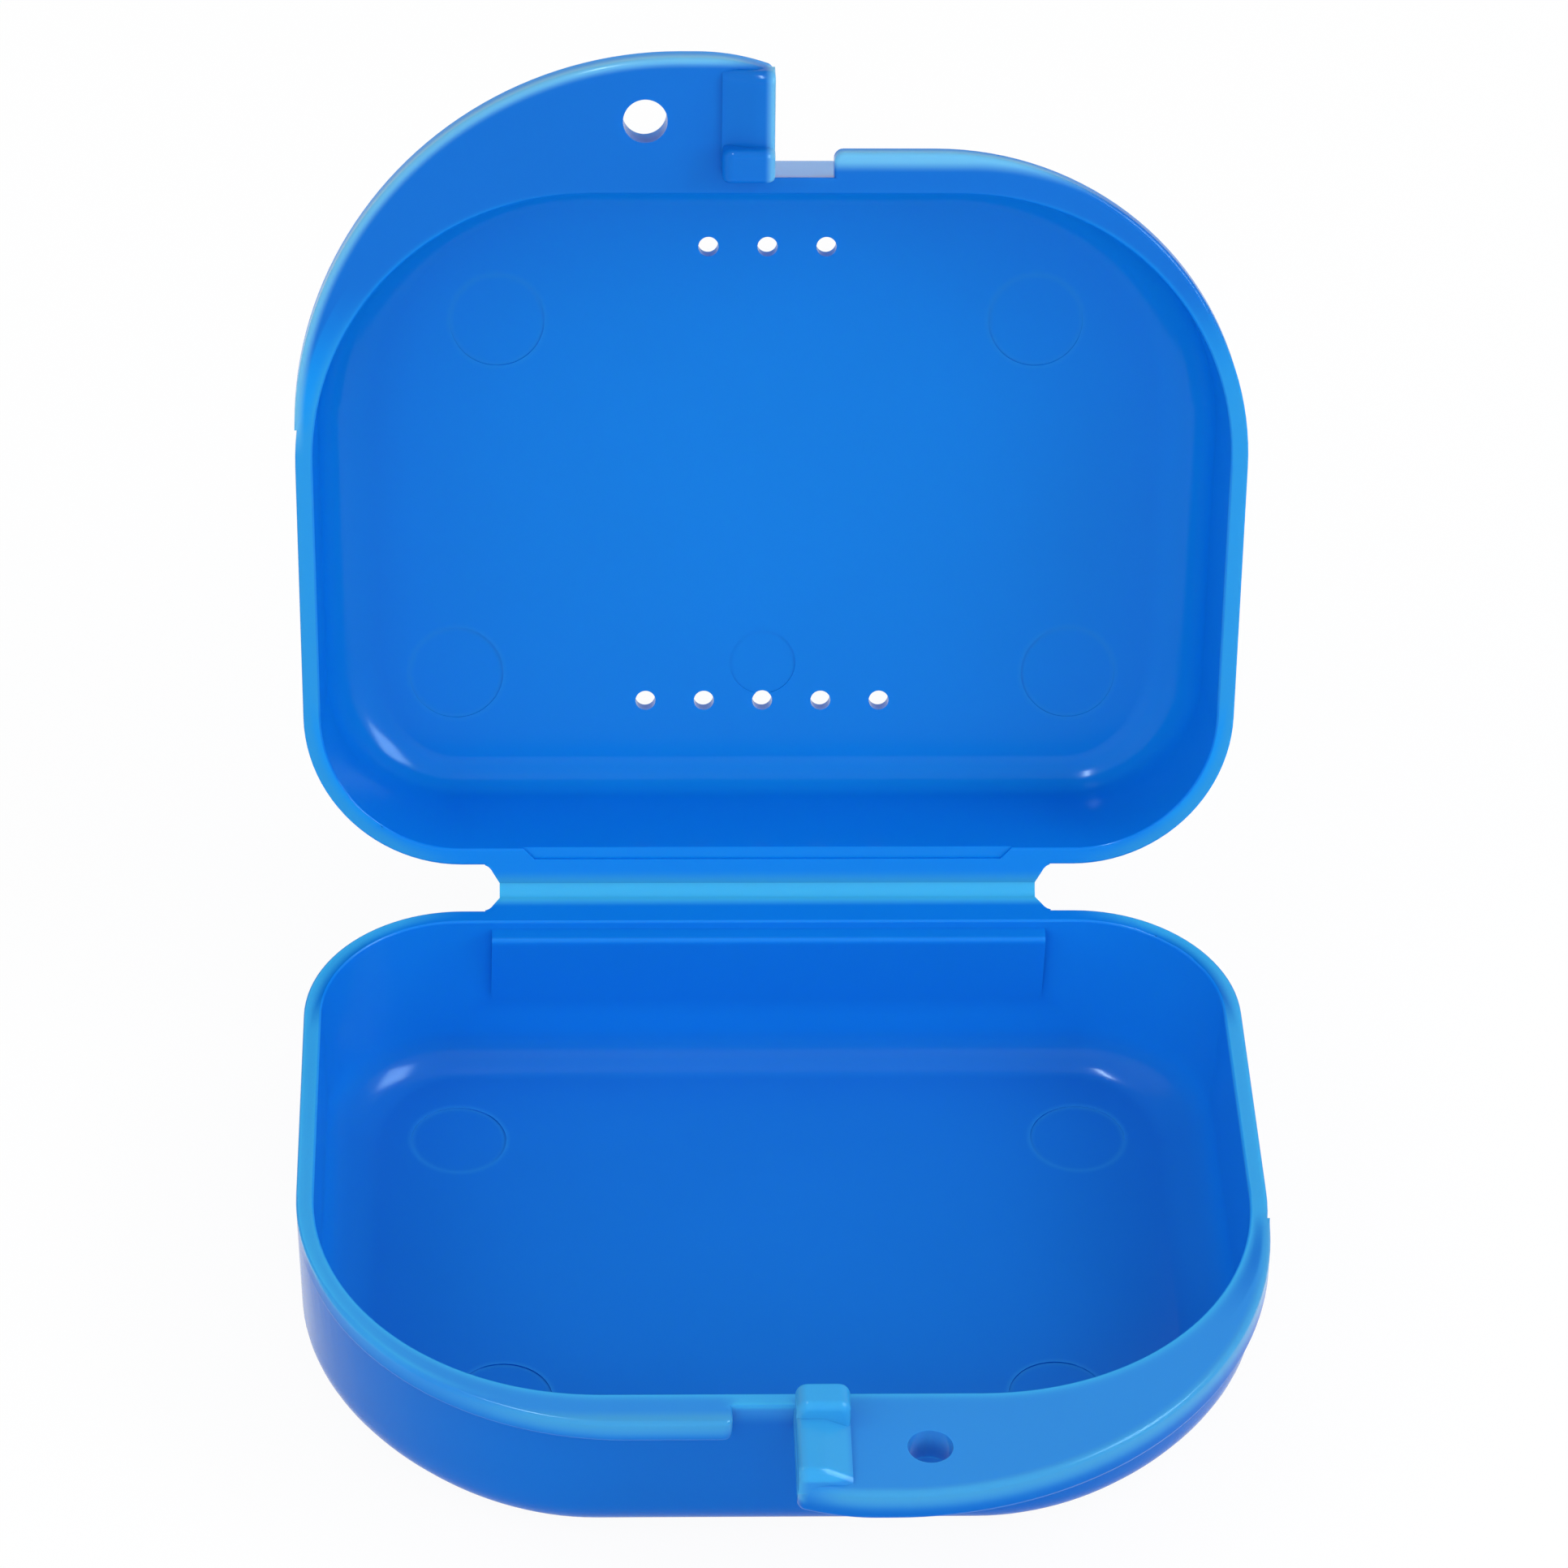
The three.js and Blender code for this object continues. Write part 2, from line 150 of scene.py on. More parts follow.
def choose(piece: bpy.types.Object, kind: Pick, test: Callable[[Any], bool]) -> None:
    """Selects the elements that pass a test, and nothing else.

    Args:
        piece: The mesh object, in edit mode.
        kind: Whether vertices, edges or faces are tested.
        test: Says whether an element is wanted.
    """
    bpy.ops.mesh.select_mode(type=kind.value)
    bpy.ops.mesh.select_all(action="DESELECT")
    shape = bmesh.from_edit_mesh(piece.data)
    pools = {Pick.VERTS: shape.verts, Pick.EDGES: shape.edges, Pick.FACES: shape.faces}
    for element in [element for element in pools[kind] if test(element)]:
        element.select_set(True)
    shape.select_flush_mode()
    bmesh.update_edit_mesh(piece.data)


def middle(edge: bmesh.types.BMEdge) -> Vector:
    """The point halfway along an edge."""
    return (edge.verts[0].co + edge.verts[1].co) / 2


def reach_along(edge: bmesh.types.BMEdge, axis: int) -> float:
    """How far an edge reaches along one axis."""
    return abs(edge.verts[0].co[axis] - edge.verts[1].co[axis])


def level_at(edge: bmesh.types.BMEdge, height: float) -> bool:
    """Whether an edge lies at one height."""
    return all(abs(vert.co.z - height) < HAIR for vert in edge.verts)


def is_sharp(edge: bmesh.types.BMEdge) -> bool:
    """Whether two faces meet sharply at an edge."""
    return edge.calc_face_angle(0.0) > math.radians(SHARP_DEGREES)


def round_off(
    piece: bpy.types.Object, kind: Pick, test: Callable[[Any], bool], size: Round
) -> None:
    """Rounds the corners of a flat face, or the edges of a solid.

    Args:
        piece: The mesh object, in edit mode.
        kind: VERTS for corners and EDGES for edges.
        test: Says whether a corner or edge is rounded.
        size: The round.
    """
    choose(piece, kind, test)
    bpy.ops.mesh.bevel(
        offset_type="OFFSET",
        offset=size.radius,
        segments=size.steps,
        affect="VERTICES" if kind is Pick.VERTS else "EDGES",
        clamp_overlap=False,
    )


def slice_at(axis: int, place: float) -> None:
    """Divides the faces of the piece in edit mode along a plane square to one axis.

    Args:
        axis: The axis.
        place: Where the plane meets it.
    """
    square = Vector([float(way == axis) for way in range(3)])
    bpy.ops.mesh.select_all(action="SELECT")
    bpy.ops.mesh.bisect(plane_co=square * place, plane_no=square)


def widen(share: float) -> None:
    """Widens what is selected, about the middle."""
    bpy.ops.transform.resize(value=(share, 1, 1), center_override=(0, 0, 0))


def lift(height: float) -> None:
    """Moves what is selected up."""
    bpy.ops.transform.translate(value=(0, 0, height))


def face_outwards() -> None:
    """Turns the faces of the piece in edit mode outwards."""
    bpy.ops.mesh.select_all(action="SELECT")
    bpy.ops.mesh.normals_make_consistent(inside=False)


def sheet_of(
    name: str, low: Sequence[float], high: Sequence[float], height: float
) -> bpy.types.Object:
    """Adds a level rectangle that faces down.

    Args:
        name: The new object's name.
        low: Its lowest X and Y.
        high: Its highest X and Y.
        height: Its Z.

    Returns:
        The new object.
    """
    centre = ((low[0] + high[0]) / 2, (low[1] + high[1]) / 2, height)
    bpy.ops.mesh.primitive_plane_add(size=1, location=centre)
    piece = bpy.context.active_object
    piece.name = name
    piece.scale = (high[0] - low[0], high[1] - low[1], 1)
    settle()
    with editing(piece):
        bpy.ops.mesh.select_all(action="SELECT")
        bpy.ops.mesh.flip_normals()
    return piece


def block_of(name: str, low: Sequence[float], high: Sequence[float]) -> bpy.types.Object:
    """Adds a block between two corners, to be shaped further.

    Args:
        name: The new object's name.
        low: Its lowest X, Y and Z.
        high: Its highest X, Y and Z.

    Returns:
        The new object.
    """
    centre = [(a + b) / 2 for a, b in zip(low, high)]
    bpy.ops.mesh.primitive_cube_add(size=1, location=centre)
    piece = bpy.context.active_object
    piece.name = name
    piece.scale = [b - a for a, b in zip(low, high)]
    settle()
    return piece


def pin_of(radius: float, centre: Sequence[float], bottom: float, top: float) -> bpy.types.Object:
    """Adds an upright round cutter.

    Args:
        radius: Its radius.
        centre: Its X and Y.
        bottom: Its lowest Z.
        top: Its highest Z.

    Returns:
        The new object.
    """
    bpy.ops.mesh.primitive_cylinder_add(
        vertices=ROUND_SIDES,
        radius=radius,
        depth=top - bottom,
        location=(centre[0], centre[1], (bottom + top) / 2),
    )
    settle()
    return bpy.context.active_object


def carve(piece: bpy.types.Object, tools: Sequence[bpy.types.Object], how: Carve) -> None:
    """Joins solids to a piece or cuts them from it, and removes them.

    Args:
        piece: The solid that stays.
        tools: The solids that are used up.
        how: Whether they are joined or cut away.
    """
    for tool in tools:
        take(piece)
        step = piece.modifiers.new("carve", "BOOLEAN")
        step.operation = how.value
        step.solver = "MANIFOLD"
        step.object = tool
        bpy.ops.object.modifier_apply(modifier=step.name)
        bpy.data.objects.remove(tool)


def dress(piece: bpy.types.Object, finish: bpy.types.Material) -> None:
    """Gives a piece one finish."""
    piece.data.materials.clear()
    piece.data.materials.append(finish)


def set_down(piece: bpy.types.Object, place: Matrix, smooth_degrees: float) -> None:
    """Shades a piece, turns it from millimetres to metres and puts its mesh in its place.

    Args:
        piece: The mesh object, modelled in millimetres.
        place: Where its own frame lies, in metres.
        smooth_degrees: Edges sharper than this stay sharp.
    """
    take(piece)
    bpy.ops.object.shade_smooth_by_angle(angle=math.radians(smooth_degrees))
    step = piece.modifiers.new("even_shading", "WEIGHTED_NORMAL")
    step.keep_sharp = True
    step.weight = LARGE_FACES_LEAD
    bpy.ops.object.modifier_apply(modifier=step.name)
    piece.matrix_world = place @ Matrix.Scale(MM, 4)
    settle()


# Shader nodes


def linear(hex_colour: str) -> tuple[float, float, float, float]:
    """Turns an sRGB hex colour to linear.

    Args:
        hex_colour: Six hex digits, with or without a leading mark.

    Returns:
        Red, green, blue and an alpha of one.
    """
    digits = hex_colour.lstrip("#")
    parts = [int(digits[at : at + 2], 16) / 255 for at in (0, 2, 4)]
    red, green, blue = (
        part / 12.92 if part <= 0.04045 else ((part + 0.055) / 1.055) ** 2.4 for part in parts
    )
    return (red, green, blue, 1.0)


def add_node(
    tree: bpy.types.NodeTree,
    kind: str,
    settings: dict[str, Any] | None = None,
    inputs: dict[Any, Any] | None = None,
) -> bpy.types.Node:
    """Adds one node.

    Args:
        tree: The node tree that gets it.
        kind: The node's type name.
        settings: Properties to set on the node.
        inputs: For each input, by name or number, a value, or the socket that is linked to it, or
            the node whose first output in use is linked to it.

    Returns:
        The new node.
    """
    node = tree.nodes.new(kind)
    for name, value in (settings or {}).items():
        setattr(node, name, value)
    for name, value in (inputs or {}).items():
        if isinstance(value, bpy.types.Node):
            value = next(output for output in value.outputs if output.enabled)
        if isinstance(value, bpy.types.NodeSocket):
            tree.links.new(value, node.inputs[name])
        else:
            node.inputs[name].default_value = value
    return node


def fresh_tree(name: str) -> tuple[bpy.types.Material, bpy.types.NodeTree]:
    """Makes a material with an empty node tree.

    Args:
        name: The material's name.

    Returns:
        The material and its tree.
    """
    material = bpy.data.materials.new(name)
    material.use_nodes = True
    material.node_tree.nodes.clear()
    return material, material.node_tree


def shows_backdrop(tree: bpy.types.NodeTree) -> bpy.types.Node:
    """Adds nodes that tell rays of the camera, of gloss and of clear things from those of light.

    Args:
        tree: The node tree that gets them.

    Returns:
        A node that gives 1 for the first and 0 for the others.
    """
    path = add_node(tree, "ShaderNodeLightPath")
    seen = path.outputs["Is Camera Ray"]
    for ray in ("Is Glossy Ray", "Is Transmission Ray"):
        seen = add_node(
            tree, "ShaderNodeMath", {"operation": "MAXIMUM"}, {0: seen, 1: path.outputs[ray]}
        )
    return seen


# Places on a half


class Measure(Enum):
    """What a place on a half is measured by. Lengths are metres in the half's own frame."""

    ACROSS = "right of the middle"
    OFF_MIDDLE = "away from the middle to either side"
    ALONG = "behind the hinge axis, and below zero ahead of it"
    HEIGHT = "above the hinge axis"
    PAST_OUTLINE = "outside the shell's outline in plan"
    PAST_FLANGE = "outside the thumb flange's outline in plan"
    OFF_MARK = "away from the edge of the nearest ejector mark"
    OUTWARD = "how far the surface faces away from the hollow"
    UPWARD = "upward share of the surface's direction, without a unit"
    THINNESS = "near 1 at a thin edge and 0 in thick plastic, without a unit"


class Rule(Enum):
    """How two masks make one."""

    BOTH = "MULTIPLY"
    EITHER = "MAXIMUM"


Measures = dict[Measure, bpy.types.Node | bpy.types.NodeSocket]


class Mask:
    """A weight from 0 to 1 over a half. `&` multiplies two masks, and `|` takes the larger one."""

    def __and__(self, other: Mask) -> Mask:
        """Where both masks hold."""
        return Pair(Rule.BOTH, self, other)

    def __or__(self, other: Mask) -> Mask:
        """Where either mask holds."""
        return Pair(Rule.EITHER, self, other)

    def weigh(self, tree: bpy.types.NodeTree, measures: Measures) -> bpy.types.Node:
        """Adds the nodes that give the weight.

        Args:
            tree: The node tree that gets them.
            measures: What gives each measure of the place.

        Returns:
            The node that gives the weight.
        """
        raise NotImplementedError


@dataclass(frozen=True)
class Fade(Mask):
    """A smooth change of weight while one measure goes from its start to its end.

    Start and end are millimetres, unless another unit is given.
    """

    measure: Measure
    start: float
    end: float
    before: float = 0.0
    after: float = 1.0
    unit: float = MM

    def weigh(self, tree: bpy.types.NodeTree, measures: Measures) -> bpy.types.Node:
        """Adds the node of the smooth change.

        Args:
            tree: The node tree that gets it.
            measures: What gives each measure of the place.

        Returns:
            The node that gives the weight.
        """
        low, high = sorted(((self.start, self.before), (self.end, self.after)))
        return add_node(
            tree,
            "ShaderNodeMapRange",
            {"interpolation_type": "SMOOTHSTEP"},
            {
                "Value": measures[self.measure],
                "From Min": low[0] * self.unit,
                "From Max": high[0] * self.unit,
                "To Min": low[1],
                "To Max": high[1],
            },
        )


@dataclass(frozen=True)
class Pair(Mask):
    """Two masks under one rule."""

    rule: Rule
    first: Mask
    second: Mask

    def weigh(self, tree: bpy.types.NodeTree, measures: Measures) -> bpy.types.Node:
        """Adds the nodes of both masks and of their rule.

        Args:
            tree: The node tree that gets them.
            measures: What gives each measure of the place.

        Returns:
            The node that gives the weight.
        """
        weights = [mask.weigh(tree, measures) for mask in (self.first, self.second)]
        return add_node(
            tree, "ShaderNodeMath", {"operation": self.rule.value}, dict(enumerate(weights))
        )


# Where painted light and shade are laid on the plastic's colour. The places were read off the
# photograph.
# Inside the hollow the inner walls' painted light is used; the outside keeps the darker painted
# shade.
INSIDE = Fade(Measure.OUTWARD, 3.0, -3.0)
STEEP_OUTSIDE = Fade(Measure.OUTWARD, -3.0, 3.0) & Fade(Measure.UPWARD, 0.6, 0.3, unit=1.0)
# The hollow's floor gets its own painted light and shade.
ON_FLOOR = INSIDE & Fade(Measure.HEIGHT, -11.5, -14.5)
# A painted highlight in a thin ring round each ejector mark.
ON_RING = ON_FLOOR & Fade(Measure.OFF_MARK, 0.5, 0.0, after=0.2)
# By the strap the inner walls' painted light replaces the outside's painted shade.
BY_STRAP = Fade(Measure.ALONG, -7.0, -5.0, after=0.65) & Fade(Measure.HEIGHT, -3.4, -2.6)
# A painted glow next to the hinge film.
BY_FILM = Fade(Measure.ALONG, -1.9, -0.8)
AHEAD_OF_STRAP = Fade(Measure.ALONG, -7.0, -10.0)
FRONT_HALF = Fade(Measure.ALONG, -12.0, -16.0)
FRONT_MIDDLE = Fade(Measure.ALONG, -38.0, -42.0)
OVER_FLANGE = FRONT_HALF & Fade(Measure.PAST_OUTLINE, -0.4, 0.3) & Fade(Measure.ACROSS, -0.3, 0.1)
AT_FRONT = Fade(Measure.ALONG, -42.0, -54.0)
# Top faces at the front and over the flange: a painted sheen on the base, painted shade on the
# lid.
ON_TOP = (
    (OVER_FLANGE | AT_FRONT)
    & Fade(Measure.PAST_OUTLINE, -1.9, -1.2)
    & Fade(Measure.HEIGHT, -2.6, -0.5)
)
# A painted glow on thin rims, standing in for light coming through.
THIN_EDGE = (
    Fade(Measure.THINNESS, 0.05, 0.45, unit=1.0)
    & Fade(Measure.HEIGHT, -0.9, -0.3)
    & Fade(Measure.PAST_OUTLINE, 0.5, -0.2)
    & (Fade(Measure.ALONG, -12.0, -18.0) | Fade(Measure.PAST_OUTLINE, -1.3, -0.4))
)
# A painted glow on what stands up past the rim: the hook and the rib.
STANDING_UP = Fade(Measure.HEIGHT, 0.1, 0.5, after=0.6)
# Painted highlights along the rounded edges of lip and flange, and along the flange's inner end.
LIP_EDGE = (
    FRONT_HALF
    & Fade(Measure.PAST_OUTLINE, 0.4, 1.5)
    & Fade(Measure.ACROSS, 0.0, -0.4)
    & Fade(Measure.HEIGHT, -1.9, -0.4)
)
FLANGE_EDGE = (
    FRONT_MIDDLE
    & Fade(Measure.PAST_FLANGE, -0.9, -0.1)
    & Fade(Measure.ACROSS, 0.0, 0.3)
    & Fade(Measure.HEIGHT, -2.2, -0.6)
)
FLANGE_INNER_END = (
    FRONT_MIDDLE
    & Fade(Measure.PAST_OUTLINE, -0.1, 0.3)
    & Fade(Measure.ACROSS, 1.1, 0.2)
    & Fade(Measure.ACROSS, -0.3, 0.0)
    & Fade(Measure.HEIGHT, -2.4, -1.6)
)


@dataclass(frozen=True)
class RoundedSide:
    """Part of an outline in plan: a side, a round corner and a straight end, in millimetres.

    The side nears the middle by `lean` of each length towards the rear. `way` is -1 where the end
    is the front one, and 1 where it is the rear one.
    """

    centre: tuple[float, float]
    radius: float
    lean: float = 0.0
    way: int = -1

    def past(
        self,
        tree: bpy.types.NodeTree,
        across: bpy.types.Node | bpy.types.NodeSocket,
        along: bpy.types.NodeSocket,
    ) -> bpy.types.Node:
        """Adds nodes for how far a place lies outside the outline.

        Args:
            tree: The node tree that gets them.
            across: The place's distance from the middle, in metres.
            along: The place's Y in the half's own frame, in metres.

        Returns:
            The node that gives the distance in metres. It is below zero inside the outline, and
            minus the radius from the corner's centre inwards.
        """
        side = add_node(
            tree,
            "ShaderNodeMath",
            {"operation": "MULTIPLY_ADD"},
            {0: along, 1: self.lean, 2: across},
        )
        end = add_node(tree, "ShaderNodeMath", {"operation": "MULTIPLY"}, {0: along, 1: self.way})
        place = add_node(tree, "ShaderNodeCombineXYZ", None, {"X": side, "Y": end})
        corner = (self.centre[0] + self.lean * self.centre[1], self.way * self.centre[1], 0)
        for operation, other in (("SUBTRACT", Vector(corner) * MM), ("MAXIMUM", Vector())):
            place = add_node(
                tree, "ShaderNodeVectorMath", {"operation": operation}, {0: place, 1: other}
            )
        reach = add_node(tree, "ShaderNodeVectorMath", {"operation": "LENGTH"}, {0: place})
        return add_node(
            tree, "ShaderNodeMath", {"operation": "SUBTRACT"}, {0: reach, 1: self.radius * MM}
        )


@dataclass(frozen=True)
class HalfPlan:
    """What the colours of a half follow in plan, in millimetres."""

    front: RoundedSide
    rear: RoundedSide
    flange: RoundedSide
    marks: tuple[tuple[float, float], ...]
    mark_radius: float
    strap_half_width: float

    def measure(self, tree: bpy.types.NodeTree, own: bpy.types.Node) -> Measures:
        """Adds nodes that measure where on the half a place lies.

        Args:
            tree: The node tree that gets them.
            own: What gives the place in the half's own frame, in metres.

        Returns:
            What gives each measure.
        """
        parts = add_node(tree, "ShaderNodeSeparateXYZ", None, {"Vector": own})
        across, along, height = (parts.outputs[axis] for axis in "XYZ")
        off_middle = add_node(tree, "ShaderNodeMath", {"operation": "ABSOLUTE"}, {0: across})
        sides = [side.past(tree, off_middle, along) for side in (self.front, self.rear)]
        outline = add_node(
            tree, "ShaderNodeMath", {"operation": "MAXIMUM"}, dict(enumerate(sides))
        )
        return {
            Measure.ACROSS: across,
            Measure.OFF_MIDDLE: off_middle,
            Measure.ALONG: along,
            Measure.HEIGHT: height,
            Measure.PAST_OUTLINE: outline,
            Measure.PAST_FLANGE: self.flange.past(tree, across, along),
            Measure.OFF_MARK: self.off_mark(tree, off_middle, along),
        }

    def off_mark(
        self, tree: bpy.types.NodeTree, off_middle: bpy.types.Node, along: bpy.types.NodeSocket
    ) -> bpy.types.Node:
        """Adds nodes for the distance to the edge of the nearest ejector mark.

        Args:
            tree: The node tree that gets them.
            off_middle: What gives the place's distance from the middle, in metres.
            along: The place's Y in the half's own frame, in metres.

        Returns:
            The node that gives the distance in metres.
        """
        flat = add_node(tree, "ShaderNodeCombineXYZ", None, {"X": off_middle, "Y": along})
        reaches = [
            add_node(
                tree,
                "ShaderNodeVectorMath",
                {"operation": "DISTANCE"},
                {0: flat, 1: Vector((*mark, 0)) * MM},
            )
            for mark in self.marks
        ]
        nearest = add_node(
            tree, "ShaderNodeMath", {"operation": "MINIMUM"}, dict(enumerate(reaches))
        )
        past = add_node(
            tree,
            "ShaderNodeMath",
            {"operation": "SUBTRACT"},
            {0: nearest, 1: self.mark_radius * MM},
        )
        return add_node(tree, "ShaderNodeMath", {"operation": "ABSOLUTE"}, {0: past})


# Finishes


@dataclass(frozen=True)
class Relief:
    """A pattern of low bumps: its real size and height in millimetres, its detail and strength."""

    size_mm: float
    height_mm: float
    detail: float
    strength: float

    def raise_on(
        self,
        tree: bpy.types.NodeTree,
        place: bpy.types.Node | bpy.types.NodeSocket,
        under: bpy.types.Node | None = None,
    ) -> bpy.types.Node:
        """Adds nodes for the bumps.

        Args:
            tree: The node tree that gets them.
            place: What gives the place, in metres.
            under: What gives the surface's direction under the bumps, or None where it is smooth.

        Returns:
            The node that gives the surface's direction.
        """
        pattern = add_node(
            tree,
            "ShaderNodeTexNoise",
            None,
            {"Vector": place, "Scale": 1 / (self.size_mm * MM), "Detail": self.detail},
        )
        inputs = {
            "Height": pattern,
            "Strength": self.strength,
            "Distance": self.height_mm * MM,
        }
        if under:
            inputs["Normal"] = under
        return add_node(tree, "ShaderNodeBump", None, inputs)


@dataclass(frozen=True)
class MouldedPolypropylene:
    """Injection-moulded polypropylene, tinted blue and slightly milky.

    The mould was polished, so the skin is glossy with a faint long ripple. Its colour carries
    painted light
    and shade: a painted glow stands in for light coming through thin plastic, so the walls are
    painted lighter than the floor and the free rims palest. The outside is painted darker as
    shade, top faces get a painted sheen or shade, and rounded edges a painted highlight.
    """

    name: str
    # Shades of one plastic that carry painted light and shade: outer is painted shade on the
    # outside, walled painted light on the inner walls, floor painted light and shade on the
    # hollow's floor, top a painted sheen or shade on top faces, thin a painted glow on thin rims,
    # mark rings and the film, and edge painted highlights on rounded edges.
    outer: str = "#0065C0"
    walled: str = "#107DDD"
    floor: str = "#1872CE"
    top: str = "#2A85D2"
    thin: str = "#3AA8DE"
    edge: str = "#3C94CC"
    # front_rim_share is how much of the painted glow stays on the front rim; the rest is painted
    # shade there.
    front_rim_share: float = 1.0
    ior: float = 1.49
    gloss: float = 0.1
    outer_gloss: float = 0.08
    roughness: tuple[float, float] = (0.13, 0.21)
    clouding: tuple[float, float] = (0.96, 1.04)
    cloud_mm: float = 18.0
    cloud_detail: float = 2.0
    ripple: Relief = Relief(9.0, 0.08, 1.0, 0.2)
    # The mould's own grain is too fine to show, so this is drawn coarser.
    grain: Relief = Relief(0.45, 0.005, 2.0, 0.25)
    milk_share: float = 0.25
    milk_reach_mm: tuple[float, float, float] = (0.3, 0.7, 1.2)
    light_depth_mm: float = 1.3
    hollow_middle_mm: tuple[float, float, float] = (0.0, -30.0, -8.0)

    def tint(
        self, tree: bpy.types.NodeTree, measures: Measures, strap_half_width: float
    ) -> bpy.types.Node:
        """Adds nodes for the plastic's colour, with painted light and shade laid on it by place.

        Args:
            tree: The node tree that gets them.
            measures: What gives each measure of the place.
            strap_half_width: Half the hinge strap's width, in millimetres.

        Returns:
            The node that gives the colour.
        """
        # The painted glow is kept off the strap, and mostly off the lid's front rim as painted
        # shade there.
        beside_strap = Fade(Measure.OFF_MIDDLE, strap_half_width + 1.5, strap_half_width + 9.0)
        front_rim_shade = Fade(Measure.ALONG, -42.0, -54.0, before=1.0, after=self.front_rim_share)
        painted_glow = (THIN_EDGE | STANDING_UP) & (beside_strap | AHEAD_OF_STRAP) & front_rim_shade
        # Starts from the outside's painted shade; each layer lays painted light or shade over it.
        colour = linear(self.outer)
        for mask, shade in (
            # Inner walls: painted light.
            (INSIDE | BY_STRAP, self.walled),
            # Floor of the hollow: painted light and shade.
            (ON_FLOOR, self.floor),
            # Rings round the ejector marks: painted highlight.
            (ON_RING, self.thin),
            # Top faces: painted sheen on the base, painted shade on the lid.
            (ON_TOP, self.top),
            # Rims, hook, rib and the side by the film: painted glow.
            (painted_glow | BY_FILM, self.thin),
            # Rounded edges of lip and flange: painted highlights.
            (LIP_EDGE | FLANGE_EDGE | FLANGE_INNER_END, self.edge),
        ):
            colour = add_node(
                tree,
                "ShaderNodeMix",
                {"data_type": "RGBA"},
                {"Factor": mask.weigh(tree, measures), "A": colour, "B": linear(shade)},
            )
        return colour

    def thinness(self, tree: bpy.types.NodeTree) -> bpy.types.Node:
        """Adds nodes that feel how thin the plastic is, from how soon a ray inside gets out.

        Args:
            tree: The node tree that gets them.

        Returns:
            The node that gives it, near 1 at a thin edge and 0 in thick plastic.
        """
        depth = add_node(
            tree,
            "ShaderNodeAmbientOcclusion",
            {"inside": True, "samples": 8, "only_local": True},
            {"Distance": self.light_depth_mm * MM},
        )
        return add_node(
            tree, "ShaderNodeMath", {"operation": "SUBTRACT"}, {0: 1.0, 1: depth.outputs["AO"]}
        )

    def own_frame(
        self, tree: bpy.types.NodeTree, place: Matrix
    ) -> tuple[bpy.types.Node, bpy.types.Node]:
        """Adds nodes that turn a point of the surface back to the piece's own frame.

        Args:
            tree: The node tree that gets them.
            place: Where the piece's own frame lies, in metres.

        Returns:
            The node that gives the point there in metres, and the one that gives the direction in
            which the surface faces there.
        """
        back = place.inverted()
        turn = back.to_euler("XYZ")
        spot = add_node(tree, "ShaderNodeTexCoord")
        own = add_node(
            tree,
            "ShaderNodeMapping",
            {"vector_type": "POINT"},
            {
                "Vector": spot.outputs["Object"],
                "Rotation": turn,
                "Location": back.to_translation(),
            },
        )
        facing = add_node(
            tree,
            "ShaderNodeMapping",
            {"vector_type": "NORMAL"},
            {"Vector": spot.outputs["Normal"], "Rotation": turn},
        )
        return own, facing

    def directions(
        self, tree: bpy.types.NodeTree, own: bpy.types.Node, facing: bpy.types.Node
    ) -> Measures:
        """Adds nodes that measure which way the surface faces.

        Args:
            tree: The node tree that gets them.
            own: What gives the point in the piece's own frame, in metres.
            facing: What gives the direction in which the surface faces there.

        Returns:
            What gives each of these measures.
        """
        away = add_node(
            tree,
            "ShaderNodeVectorMath",
            {"operation": "SUBTRACT"},
            {0: own, 1: Vector(self.hollow_middle_mm) * MM},
        )
        outward = add_node(
            tree, "ShaderNodeVectorMath", {"operation": "DOT_PRODUCT"}, {0: away, 1: facing}
        )
        parts = add_node(tree, "ShaderNodeSeparateXYZ", None, {"Vector": facing})
        return {Measure.OUTWARD: outward, Measure.UPWARD: parts.outputs["Z"]}

    def make(self, place: Matrix, plan: HalfPlan | None = None) -> bpy.types.Material:
        """Builds the material for a piece that lies at a place.

        Args:
            place: Where the piece's own frame lies, in metres.
            plan: What the painted light and shade of a half follow. Without it the piece has the
                painted glow colour all over.

        Returns:
            The material.
        """
        material, tree = fresh_tree(self.name)
        own, facing = self.own_frame(tree, place)
        measures = self.directions(tree, own, facing)
